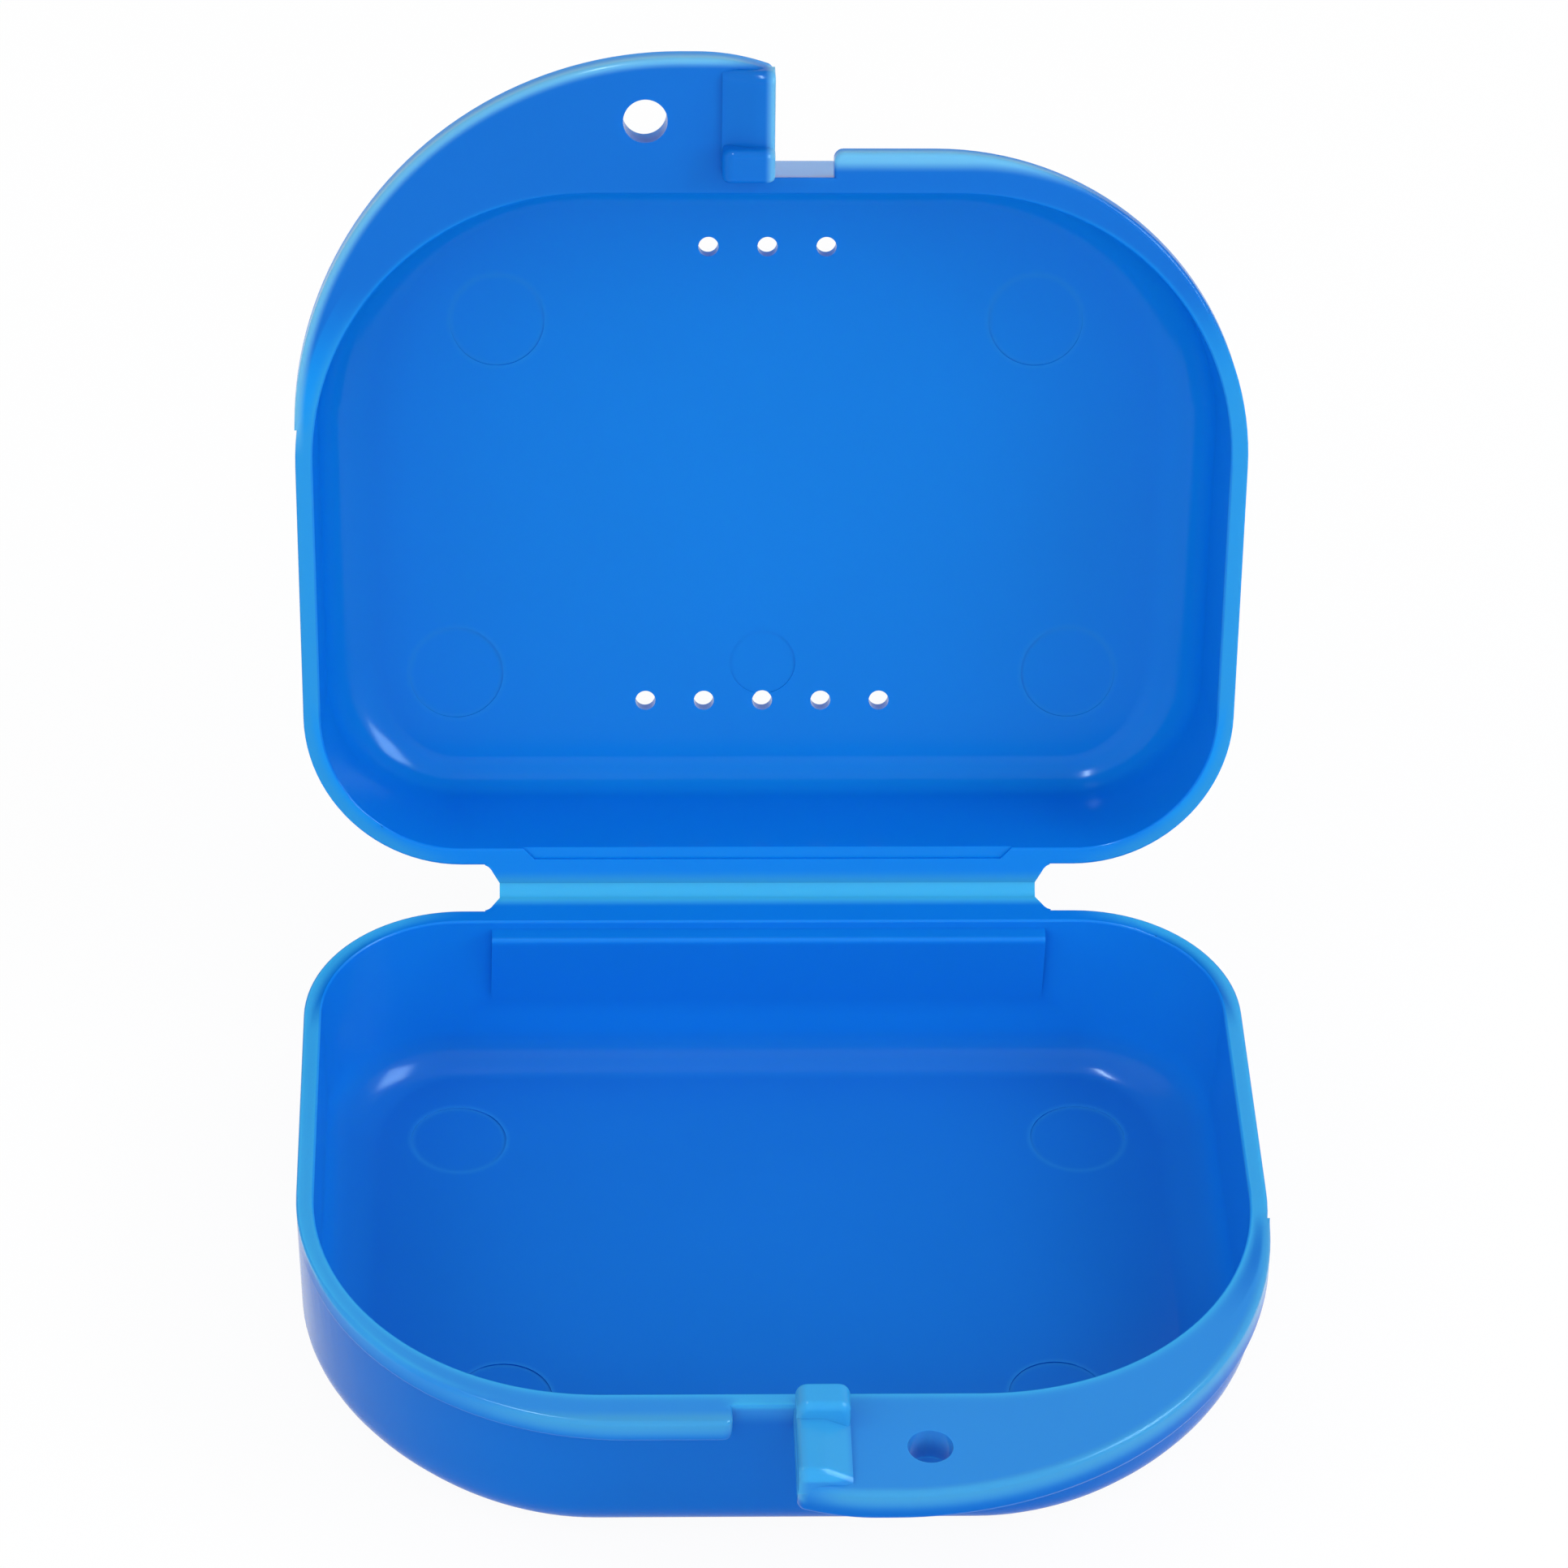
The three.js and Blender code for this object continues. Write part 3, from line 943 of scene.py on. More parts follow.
        # Without a plan the piece has the painted glow colour all over.
        tint = linear(self.thin)[:3]
        if plan:
            measures.update(plan.measure(tree, own))
            measures[Measure.THINNESS] = self.thinness(tree)
            tint = self.tint(tree, measures, plan.strap_half_width)
        cloud = add_node(
            tree,
            "ShaderNodeTexNoise",
            None,
            {"Vector": own, "Scale": 1 / (self.cloud_mm * MM), "Detail": self.cloud_detail},
        )
        clouding, roughness, gloss = (
            add_node(
                tree, "ShaderNodeMapRange", None, {"Value": weight, "To Min": low, "To Max": high}
            )
            for weight, (low, high) in (
                (cloud, self.clouding),
                (cloud, self.roughness),
                (STEEP_OUTSIDE.weigh(tree, measures), (self.gloss, self.outer_gloss)),
            )
        )
        shade = add_node(
            tree, "ShaderNodeVectorMath", {"operation": "SCALE"}, {0: tint, "Scale": clouding}
        )
        skin = self.grain.raise_on(tree, own, self.ripple.raise_on(tree, own))
        shader = add_node(
            tree,
            "ShaderNodeBsdfPrincipled",
            {"subsurface_method": "RANDOM_WALK"},
            {
                "Base Color": shade,
                "Roughness": roughness,
                "Normal": skin,
                "IOR": self.ior,
                "Specular IOR Level": gloss,
                "Subsurface Weight": self.milk_share,
                "Subsurface Radius": self.milk_reach_mm,
                "Subsurface Scale": MM,
            },
        )
        add_node(tree, "ShaderNodeOutputMaterial", None, {"Surface": shader})
        return material


@dataclass(frozen=True)
class PaleFloor:
    """Matt white paper under the case. It shows white to the camera and keeps the shadow."""

    name: str = "white_paper"
    colour: str = "#F2F2F2"
    share_of_white: float = 0.94
    roughness: float = 0.9
    # Real fibres are too fine to show, so these are drawn coarser.
    fibres: Relief = Relief(1.1, 0.02, 2.0, 0.05)

    def make(self) -> bpy.types.Material:
        """Builds the material.

        Returns:
            The material.
        """
        material, tree = fresh_tree(self.name)
        spot = add_node(tree, "ShaderNodeTexCoord")
        skin = self.fibres.raise_on(tree, spot.outputs["Object"])
        paper = add_node(
            tree,
            "ShaderNodeBsdfPrincipled",
            None,
            {"Base Color": linear(self.colour), "Roughness": self.roughness, "Normal": skin},
        )
        white = add_node(
            tree, "ShaderNodeEmission", None, {"Color": linear("#FFFFFF"), "Strength": 1.0}
        )
        share = add_node(
            tree,
            "ShaderNodeMath",
            {"operation": "MULTIPLY"},
            {0: shows_backdrop(tree), 1: self.share_of_white},
        )
        mix = add_node(tree, "ShaderNodeMixShader", None, {0: share, 1: paper, 2: white})
        add_node(tree, "ShaderNodeOutputMaterial", None, {"Surface": mix})
        return material


# The case


@dataclass(frozen=True)
class WallSide:
    """One side of the shell: how it leans in, and the round at its bottom."""

    draft_degrees: float
    bottom_radius: float

    def inward(self, level: float, depth: float, hollow: float) -> float:
        """How far the wall lies inside its rim line.

        Args:
            level: Depth below the rim.
            depth: Full depth of the body.
            hollow: How much smaller the bottom radius is than the outer one.

        Returns:
            The distance, in millimetres.
        """
        radius = self.bottom_radius - hollow
        draft = math.radians(self.draft_degrees)
        centre = depth - radius
        if level < centre + radius * math.sin(draft):
            return level * math.tan(draft)
        reach = centre * math.tan(draft) + radius / math.cos(draft)
        return reach - math.sqrt(max(0.0, radius**2 - (level - centre) ** 2))


@dataclass(frozen=True)
class Hinge:
    """Where the two halves hinge, in the row frame, and how far the lid stands open."""

    across_mm: float = 32.375
    height_mm: float = 16.5
    opening_degrees: float = 112.84
    film_reach: float = 0.7
    film_half_width: float = 22.7
    film_thickness: float = 0.35
    rim_below: float = 0.1

    def place(self, turn: Turn) -> Matrix:
        """Where a half's own frame lies.

        Args:
            turn: Whether the half is the base or the turned-over lid.

        Returns:
            The place, in metres.
        """
        at = Matrix.Translation((0, self.across_mm * MM, self.height_mm * MM))
        if turn is Turn.AS_MODELLED:
            return at
        swing = Matrix.Rotation(-math.radians(self.opening_degrees), 4, "X")
        return at @ swing @ Matrix.Rotation(math.pi, 4, "Y")


@dataclass
class CaseHalf:
    """One moulded half: shell, lip, thumb flange, latch hook with its rib, and hinge leaf."""

    hinge: Hinge
    name: str
    turn: Turn

    front_half_width: float = 39.95
    rear_half_width: float = 39.3
    rear_setback: float = 2.3
    shell_length: float = 60.15
    front_corner: Round = Round(24.45, 36)
    rear_corner: Round = Round(13.4, 24)

    outer_depth: float = 16.4
    wall: float = 1.45
    floor_thickness: float = 1.5
    front: WallSide = WallSide(8.5, 4.8)
    side: WallSide = WallSide(2.75, 6.1)
    rear: WallSide = WallSide(3, 4.3)
    bottom_steps: int = 12
    corner_draft_degrees: float = 0.0
    rim_edge: Round = Round(0.2, 3)

    lip_reach: float = 2.05
    lip_start: float = 4.85
    lip_thickness: float = 2.1
    lip_corner: Round = Round(26.5, 36)
    lip_inner_corner: Round = Round(0.8, 6)
    lip_tuck: float = 0.1
    lip_edge: Round = Round(0.4, 4)

    flange_reach: float = 10.15
    flange_start: float = 0.1
    flange_half_width: float = 40
    flange_thickness: float = 3
    flange_corner: Round = Round(32, 44)
    flange_inner_corner: Round = Round(0.8, 8)
    flange_edge: Round = Round(0.5, 5)
    flange_bow_length: float = 6.5
    flange_bow: Round = Round(18, 12)
    cord_hole_radius: float = 1.85
    cord_hole_across: float = 10.9
    cord_hole_from_edge: float = 5.35

    hook_start: float = 0.15
    hook_width: float = 4.4
    hook_thickness: float = 2.8
    hook_height: float = 2.8
    hook_root: float = 1.0
    hook_corner: Round = Round(1.0, 8)
    hook_front_edge: Round = Round(0.7, 6)
    hook_clearance: float = 0.15
    rib_flat: float = 2.3
    rib_height: float = 1.35
    rib_low_height: float = 0.35
    rib_root: float = 0.9
    rib_end: Round = Round(1.0, 8)
    rib_end_from_edge: float = 0.9
    small_edge: Round = Round(0.4, 3)

    leaf_half_width: float = 23.4
    leaf_thickness: float = 1.4
    leaf_relief: float = 0.9
    leaf_taper: float = 0.15
    leaf_flare: tuple[tuple[float, float], ...] = ((0.0, 0.55), (0.15, 0.25), (0.4, 0.02))

    front_mark_inset: tuple[float, float] = (17.11, 16.45)
    rear_mark_inset: tuple[float, float] = (13.1, 12.4)
    mark_depth: float = 0.12
    mark_radius: float = 4.0
    overrun: float = 1.0
    smooth_degrees: float = 32

    @property
    def rim(self) -> float:
        """Height of the rim."""
        return -self.hinge.rim_below

    @property
    def shell_front(self) -> float:
        """Distance of the front wall's outer face from the hinge axis, at the rim."""
        return self.rear_setback + self.shell_length

    @property
    def floor_top(self) -> float:
        """Height of the floor inside."""
        return self.rim - self.outer_depth + self.floor_thickness

    @property
    def front_centre(self) -> tuple[float, float]:
        """Centre of the front right corner's arc, in plan."""
        radius = self.front_corner.radius
        return self.front_half_width - radius, radius - self.shell_front

    @property
    def rear_centre(self) -> tuple[float, float]:
        """Centre of the rear right corner's arc, in plan."""
        radius = self.rear_corner.radius
        return self.rear_half_width - radius, -(self.rear_setback + radius)

    @property
    def lean(self) -> float:
        """How far the straight sides turn in towards the rear.

        Returns:
            The angle, in radians.
        """
        radii = self.front_corner.radius, self.rear_corner.radius
        run = Vector(
            (self.rear_centre[0] - self.front_centre[0], self.shell_length - radii[0] - radii[1])
        )
        return math.atan2(run.y, run.x) - math.acos((radii[0] - radii[1]) / run.length)

    @property
    def marks(self) -> tuple[tuple[float, float], ...]:
        """Where the ejector marks right of the middle lie.

        Returns:
            X and Y of each.
        """
        return (
            (
                self.front_half_width - self.front_mark_inset[0],
                self.front_mark_inset[1] - self.shell_front,
            ),
            (
                self.rear_half_width - self.rear_mark_inset[0],
                -(self.rear_setback + self.rear_mark_inset[1]),
            ),
        )

    @property
    def ends(self) -> tuple[RoundedSide, RoundedSide]:
        """Describes the front and the rear end of the right side, in plan.

        Returns:
            Both ends.
        """
        lean = math.tan(self.lean)
        return (
            RoundedSide(self.front_centre, self.front_corner.radius, lean),
            RoundedSide(self.rear_centre, self.rear_corner.radius, lean, way=1),
        )

    def half_plan(self) -> HalfPlan:
        """What the half's colours follow.

        Returns:
            Its outlines and marks in plan.
        """
        radius = self.flange_corner.radius
        centre = (self.flange_half_width - radius, radius - self.shell_front - self.flange_reach)
        return HalfPlan(
            *self.ends,
            RoundedSide(centre, radius),
            self.marks,
            self.mark_radius,
            self.leaf_half_width,
        )

    def outline(self, name: str) -> bpy.types.Object:
        """Makes the rim's outline as one face that looks down.

        Args:
            name: The new object's name.

        Returns:
            The new object.
        """
        lean = self.lean
        front_x, front_y = self.front_centre
        reach = front_x * math.cos(lean) + front_y * math.sin(lean) + self.front_corner.radius
        front_x = (reach + self.shell_front * math.sin(lean)) / math.cos(lean)
        rear_x = (reach + self.rear_setback * math.sin(lean)) / math.cos(lean)
        halfway = -(self.rear_setback + self.shell_length / 2)
        piece = sheet_of(
            name, (-front_x, -self.shell_front), (front_x, -self.rear_setback), self.rim
        )
        with editing(piece):
            choose(piece, Pick.VERTS, lambda vert: vert.co.y > halfway)
            widen(rear_x / front_x)
            round_off(
                piece,
                Pick.VERTS,
                lambda vert: vert.co.y < halfway,
                self.front_corner.started_at(math.tan(math.pi / 4 + lean / 2)),
            )
            round_off(
                piece,
                Pick.VERTS,
                lambda vert: vert.co.y > -self.rear_setback - HAIR,
                self.rear_corner.started_at(math.tan(math.pi / 4 - lean / 2)),
            )
        return piece

    def body(self, name: str, hollow: float, depth: float, above: float) -> bpy.types.Object:
        """Makes the solid inside the outline, drafted on each side and rounded at the bottom.

        Args:
            name: The new object's name.
            hollow: How far the solid's rim line lies inside the shell's outer one.
            depth: How far down its bottom is.
            above: How far it stands up past the rim.

        Returns:
            The new object.
        """
        piece = self.outline(name)
        levels = self.levels(depth, hollow)
        with editing(piece):
            bpy.ops.mesh.select_all(action="SELECT")
            if hollow:
                bpy.ops.mesh.inset(thickness=hollow, depth=0)
                sides = max(len(face.verts) for face in bmesh.from_edit_mesh(piece.data).faces)
                choose(piece, Pick.FACES, lambda face: len(face.verts) < sides)
                bpy.ops.mesh.delete(type="FACE")
            for upper, lower in zip(levels, levels[1:]):
                self.draw_down(piece, upper, lower, depth, hollow)
                self.draw_in_corners(piece, lower, lower - upper, depth, hollow)
            choose(piece, Pick.EDGES, lambda edge: edge.is_boundary)
            if above:
                bpy.ops.mesh.extrude_region_move(TRANSFORM_OT_translate={"value": (0, 0, above)})
            bpy.ops.mesh.edge_face_add()
            face_outwards()
            if not above:
                round_off(piece, Pick.EDGES, lambda edge: level_at(edge, self.rim), self.rim_edge)
        return piece

    def levels(self, depth: float, hollow: float) -> list[float]:
        """Lists the levels at which a body's walls are drawn, closer together where they bend.

        Args:
            depth: Full depth of the body.
            hollow: How far the body's rim line lies inside the shell's outer one.

        Returns:
            Depths below the rim.
        """
        largest = max(wall.bottom_radius for wall in (self.front, self.side, self.rear)) - hollow
        return [0.0] + [
            depth - largest + largest * math.sin(step / self.bottom_steps * math.pi / 2)
            for step in range(self.bottom_steps + 1)
        ]

    def draw_down(
        self, piece: bpy.types.Object, upper: float, lower: float, depth: float, hollow: float
    ) -> None:
        """Draws the walls down from one level to the next, each by its own draft.

        Args:
            piece: The body, in edit mode.
            upper: Depth of the upper level below the rim.
            lower: Depth of the lower one.
            depth: Full depth of the body.
            hollow: How far the body's rim line lies inside the shell's outer one.
        """
        step_in = self.side.inward(lower, depth, hollow) - self.side.inward(upper, depth, hollow)
        # The walls' faces have four corners, and the face at the bottom has many.
        choose(piece, Pick.FACES, lambda face: len(face.verts) > 4)
        bpy.ops.mesh.inset(thickness=step_in, depth=lower - upper)
        for wall, end in zip((self.front, self.rear), self.ends):
            pivot = end.centre[1]
            left = end.radius - hollow - wall.inward(upper, depth, hollow) - step_in
            wanted = end.radius - hollow - wall.inward(lower, depth, hollow)
            choose(
                piece,
                Pick.VERTS,
                lambda vert: abs(vert.co.z - (self.rim - lower)) < LEVEL_HAIR
                and (vert.co.y - pivot) * end.way > 0,
            )
            bpy.ops.transform.resize(value=(1, wanted / left, 1), center_override=(0, pivot, 0))

    def draw_in_corners(
        self, piece: bpy.types.Object, level: float, step: float, depth: float, hollow: float
    ) -> None:
        """Draws one level's front corners in by their own draft, most at their middles.

        Args:
            piece: The body, in edit mode.
            level: Depth of the level below the rim.
            step: How far it lies below the level above it.
            depth: Full depth of the body.
            hollow: How far the body's rim line lies inside the shell's outer one.
        """
        centre_x, centre_y = self.front_centre
        radius = self.front_corner.radius - hollow
        half_x = radius - self.side.inward(level, depth, hollow)
        half_y = radius - self.front.inward(level, depth, hollow)
        slope = math.tan(math.radians(self.corner_draft_degrees))
        for vert in bmesh.from_edit_mesh(piece.data).verts:
            past_x = abs(vert.co.x) - centre_x
            past_y = centre_y - vert.co.y
            at_level = abs(vert.co.z - (self.rim - level)) <= LEVEL_HAIR
            if at_level and min(past_x, past_y) > 0:
                angle = math.atan2(past_y / half_y, past_x / half_x)
                inward = step * slope * math.sin(2 * angle) ** 2
                vert.co.x -= math.copysign(inward * math.cos(angle), vert.co.x)
                vert.co.y += inward * math.sin(angle)

    def thicken(
        self, piece: bpy.types.Object, thickness: float, back: float, edge_round: Round
    ) -> None:
        """Makes a flat outline at the rim a plate, and rounds its edges but for those at its back.

        Args:
            piece: The outline, in edit mode.
            thickness: How thick the plate is.
            back: Y of its back.
            edge_round: The round of its edges.
        """
        bpy.ops.mesh.select_all(action="SELECT")
        bpy.ops.mesh.extrude_region_move(TRANSFORM_OT_translate={"value": (0, 0, -thickness)})
        heights = (self.rim, self.rim - thickness)
        round_off(
            piece,
            Pick.EDGES,
            lambda edge: any(level_at(edge, height) for height in heights)
            and middle(edge).y < back - HAIR,
            edge_round,
        )
        face_outwards()

    def lip(self) -> bpy.types.Object:
        """Makes the plain lip, still running in over the hollow.

        Returns:
            The new object.
        """
        front = -(self.shell_front + self.lip_reach)
        outer = -(self.front_half_width - self.lip_tuck)
        back = front + self.lip_corner.radius
        piece = sheet_of("lip", (outer, front), (-self.lip_start, back), self.rim)
        corners = ((outer, self.lip_corner), (-self.lip_start, self.lip_inner_corner))
        with editing(piece):
            for side, corner in corners:
                round_off(
                    piece,
                    Pick.VERTS,
                    lambda vert: vert.co.y < front + HAIR and abs(vert.co.x - side) < HAIR,
                    corner,
                )
            self.thicken(piece, self.lip_thickness, back, self.lip_edge)
        return piece

    def thumb_flange(self) -> bpy.types.Object:
        """Makes the thumb flange, still running in over the hollow.

        Returns:
            The new object.
        """
        front = -(self.shell_front + self.flange_reach)
        back = front + self.flange_corner.radius
        side = self.flange_half_width
        piece = sheet_of("thumb_flange", (self.flange_start, front), (side, back), self.rim)
        with editing(piece):
            round_off(
                piece,
                Pick.VERTS,
                lambda vert: vert.co.y < front + HAIR and vert.co.x > side - HAIR,
                self.flange_corner,
            )
            self.bow_inner_end(piece, front)
            self.thicken(piece, self.flange_thickness, back, self.flange_edge)
        return piece

    def bow_inner_end(self, piece: bpy.types.Object, front: float) -> None:
        """Bows the flange's edge back to its inner end, and rounds the corner there.

        Args:
            piece: The flange's outline, in edit mode.
            front: Y of its edge.
        """
        end = self.flange_start + self.flange_bow_length
        radius, steps = self.flange_bow.radius, self.flange_bow.steps
        slice_at(ACROSS, end)
        for step in range(1, steps):
            slice_at(ACROSS, self.flange_start + self.flange_bow_length * step / steps)
        for vert in bmesh.from_edit_mesh(piece.data).verts:
            if vert.co.x < end and vert.co.y < front + HAIR:
                run = end - vert.co.x
                vert.co.y += radius - math.sqrt(radius**2 - run**2)
        corner = self.flange_start + HAIR
        inner = min(
            vert.co.y for vert in bmesh.from_edit_mesh(piece.data).verts if vert.co.x < corner
        )
        bpy.ops.mesh.select_all(action="SELECT")
        bpy.ops.mesh.dissolve_limited(angle_limit=math.radians(STRAIGHT_DEGREES))
        round_off(
            piece,
            Pick.VERTS,
            lambda vert: vert.co.x < corner and vert.co.y < inner + HAIR,
            self.flange_inner_corner,
        )

    def hook(self) -> bpy.types.Object:
        """Makes the latch hook, standing up out of the flange beside the front wall.

        Returns:
            The new object.
        """
        back = -(self.shell_front + self.hook_clearance)
        front = back - self.hook_thickness
        root = self.rim - self.hook_root
        top = self.rim + self.hook_height
        side = self.hook_start + self.hook_width
        piece = block_of("hook", (self.hook_start, front, root), (side, back, top))
        with editing(piece):
            round_off(
                piece,
                Pick.EDGES,
                lambda edge: level_at(edge, top) and reach_along(edge, ACROSS) < HAIR,
                self.hook_corner,
            )
            round_off(
                piece,
                Pick.EDGES,
                lambda edge: abs(middle(edge).y - front) < HAIR
                and middle(edge).z > top - self.hook_corner.radius - HAIR,
                self.hook_front_edge,
            )
            round_off(
                piece,
                Pick.EDGES,
                lambda edge: not level_at(edge, root) and is_sharp(edge),
                self.small_edge,
            )
        return piece

    def rib(self) -> bpy.types.Object:
        """Makes the rib that runs from the hook to the flange's edge, falling away to one side.

        Returns:
            The new object.
        """
        back = -(self.shell_front + self.hook_clearance + self.hook_thickness / 2)
        front = -(self.shell_front + self.flange_reach) + self.rib_end_from_edge
        side = self.hook_start + self.hook_width
        root = self.rim - self.rib_root
        top = self.rim + self.rib_height
        piece = block_of("rib", (self.hook_start, front, root), (side, back, top))
        with editing(piece):
            slice_at(ACROSS, self.hook_start + self.rib_flat)
            choose(
                piece, Pick.VERTS, lambda vert: vert.co.x > side - HAIR and vert.co.z > top - HAIR
            )
            lift(self.rib_low_height - self.rib_height)
            round_off(
                piece,
                Pick.EDGES,
                lambda edge: middle(edge).y < front + HAIR
                and middle(edge).z > self.rim
                and reach_along(edge, ACROSS) > HAIR,
                self.rib_end,
            )
            round_off(
                piece,
                Pick.EDGES,
                lambda edge: abs(middle(edge).x - self.hook_start) < HAIR
                and middle(edge).z > self.rim
                and is_sharp(edge)
                and reach_along(edge, UP) < self.rib_root,
                self.small_edge,
            )
        return piece

    def leaf(self) -> bpy.types.Object:
        """Makes the stiff leaf of the hinge, thinned on its underside towards the film.

        Returns:
            The new object.
        """
        root = -(self.rear_setback + self.wall / 2)
        end = -self.hinge.film_reach
        under = self.rim - self.leaf_thickness
        half_width = self.leaf_half_width
        piece = block_of("leaf", (-half_width, root, under), (half_width, end, self.rim))
        stations = (
            *(
                (off - self.rear_setback, half_width + wider, under)
                for off, wider in self.leaf_flare
            ),
            (end - self.leaf_relief, half_width - self.leaf_taper, under),
            (end, self.hinge.film_half_width, self.rim - self.hinge.film_thickness),
        )
        with editing(piece):
            for place, _, _ in stations[:-1]:
                slice_at(ALONG, place)
            for place, wanted, low in stations:
                choose(piece, Pick.VERTS, lambda vert: abs(vert.co.y - place) < HAIR)
                widen(wanted / half_width)
                choose(
                    piece,
                    Pick.VERTS,
                    lambda vert: abs(vert.co.y - place) < HAIR and vert.co.z < under + HAIR,
                )
                lift(low - under)
        return piece

    def mark(self, across: float, along: float, radius: float) -> bpy.types.Object:
        """Makes the cutter of one ejector mark.

        Args:
            across: Its X.
            along: Its Y.
            radius: Its radius.

        Returns:
            The cutter.
        """
        bottom = self.floor_top - self.mark_depth
        return pin_of(radius, (across, along), bottom, self.floor_top + self.overrun)

    def additions(self) -> list[bpy.types.Object]:
        """What only this half has inside."""
        return []

    def cutters(self) -> list[bpy.types.Object]:
        """What is cut from this half: the cord hole and four ejector marks.

        Returns:
            The cutters.
        """
        hole_y = self.cord_hole_from_edge - self.shell_front - self.flange_reach
        hole = pin_of(
            self.cord_hole_radius,
            (self.cord_hole_across, hole_y),
            self.rim - self.flange_thickness - self.overrun,
            self.rim + self.overrun,
        )
        marks = [
            self.mark(hand * across, along, self.mark_radius)
            for across, along in self.marks
            for hand in (-1, 1)
        ]
        return [hole, *marks]

    def build(self, finish: MouldedPolypropylene) -> bpy.types.Object:
        """Models and dresses the half, and puts it in its place.

        Args:
            finish: What the half is moulded of.

        Returns:
            The finished piece.
        """
        piece = self.body(self.name, 0, self.outer_depth, 0)
        carve(piece, [self.lip(), self.thumb_flange(), self.leaf()], Carve.JOIN)
        inner_depth = self.outer_depth - self.floor_thickness
        carve(piece, [self.body("cavity", self.wall, inner_depth, self.overrun)], Carve.CUT)
        with editing(piece):
            round_off(piece, Pick.EDGES, self.is_inner_rim, self.rim_edge)
        carve(piece, [self.hook(), self.rib(), *self.additions()], Carve.JOIN)
        carve(piece, self.cutters(), Carve.CUT)
        with editing(piece):
            bpy.ops.mesh.select_all(action="SELECT")
            bpy.ops.mesh.remove_doubles(threshold=MERGE)
            bpy.ops.mesh.dissolve_degenerate(threshold=SLIVER)
        place = self.hinge.place(self.turn)
        set_down(piece, place, self.smooth_degrees)
        dress(piece, finish.make(place, self.half_plan()))
        return piece

    def is_inner_rim(self, edge: bmesh.types.BMEdge) -> bool:
        """Whether an edge is the sharp one between the rim and the inside of a wall."""
        return level_at(edge, self.rim) and is_sharp(edge) and self.inside_outline(middle(edge))

    def inside_outline(self, point: Vector) -> bool:
        """Whether a point at the rim lies well inside the shell's outer outline.

        Args:
            point: The point.

        Returns:
            True if it lies at least half a wall inside.
        """
        margin = self.wall / 2
        for end in self.ends:
            past_x = abs(point.x) - end.centre[0]
            past_y = (point.y - end.centre[1]) * end.way
            if min(past_x, past_y) > 0:
                return math.hypot(past_x, past_y) < end.radius - margin
        ahead = -point.y
        return (
            abs(point.x) < self.front_half_width - margin
            and self.rear_setback + margin < ahead < self.shell_front - margin
        )


@dataclass
class BaseHalf(CaseHalf):
    """The lower half, with a steeper front and a thickened pad inside its rear wall."""

    front: WallSide = WallSide(5, 4.8)
    corner_draft_degrees: float = 2.3
    pad_half_width: float = 23.4
    pad_thickness: float = 1.55
    pad_drop: float = 0.8
    pad_top_edge: Round = Round(0.7, 4)
    pad_height: float = 10.5

    def additions(self) -> list[bpy.types.Object]:
        """Makes the pad: a block whose foot is drawn back into the wall and whose top is rounded.

        Returns:
            The pad alone.
        """
        face = -(self.rear_setback + self.wall)
        top = self.rim - self.pad_drop
        bottom = top - self.pad_height
        piece = block_of(
            "pad",
            (-self.pad_half_width, face - self.pad_thickness, bottom),
            (self.pad_half_width, face + self.wall / 2, top),
        )
        with editing(piece):
            choose(
                piece,
                Pick.VERTS,
                lambda vert: vert.co.y < face - HAIR and vert.co.z < bottom + HAIR,
            )
            bpy.ops.transform.translate(value=(0, self.pad_thickness, 0))
            round_off(
                piece,
                Pick.EDGES,
                lambda edge: level_at(edge, top)
                and middle(edge).y < face - HAIR
                and reach_along(edge, ACROSS) > HAIR,
                self.pad_top_edge,
            )
        return [piece]


@dataclass
class LidHalf(CaseHalf):
    """The upper half, with vents, a middle ejector mark and a relief along its rear rim."""

    vent_radius: float = 0.85
    vent_pitch: float = 5.0
    vent_rows: tuple[tuple[int, float], ...] = ((3, 52.45), (5, 12.2))
    middle_mark_along: float = -15.6
    middle_mark_radius: float = 2.8
    relief_half_width: float = 19.75
    relief_width: float = 0.95
    relief_depth: float = 0.4

    def cutters(self) -> list[bpy.types.Object]:
        """Adds the vents, the middle mark and the relief to what every half has cut.

        Returns:
            The cutters.
        """
        vents = [
            pin_of(
                self.vent_radius,
                ((hole - (count - 1) / 2) * self.vent_pitch, -from_axis),
                self.floor_top - self.floor_thickness - self.overrun,
                self.floor_top + self.overrun,
            )
            for count, from_axis in self.vent_rows
            for hole in range(count)
        ]
        inner = -(self.rear_setback + self.wall)
        relief = block_of(
            "relief",
            (-self.relief_half_width, inner - self.overrun, self.rim - self.relief_depth),
            (self.relief_half_width, inner + self.relief_width, self.rim + self.overrun),
        )
        with editing(relief):
            slice_at(ALONG, inner)
            choose(relief, Pick.VERTS, lambda vert: vert.co.y < inner + HAIR)
            widen((self.relief_half_width + self.relief_width) / self.relief_half_width)
        middle_mark = self.mark(0, self.middle_mark_along, self.middle_mark_radius)
        return [*super().cutters(), middle_mark, *vents, relief]


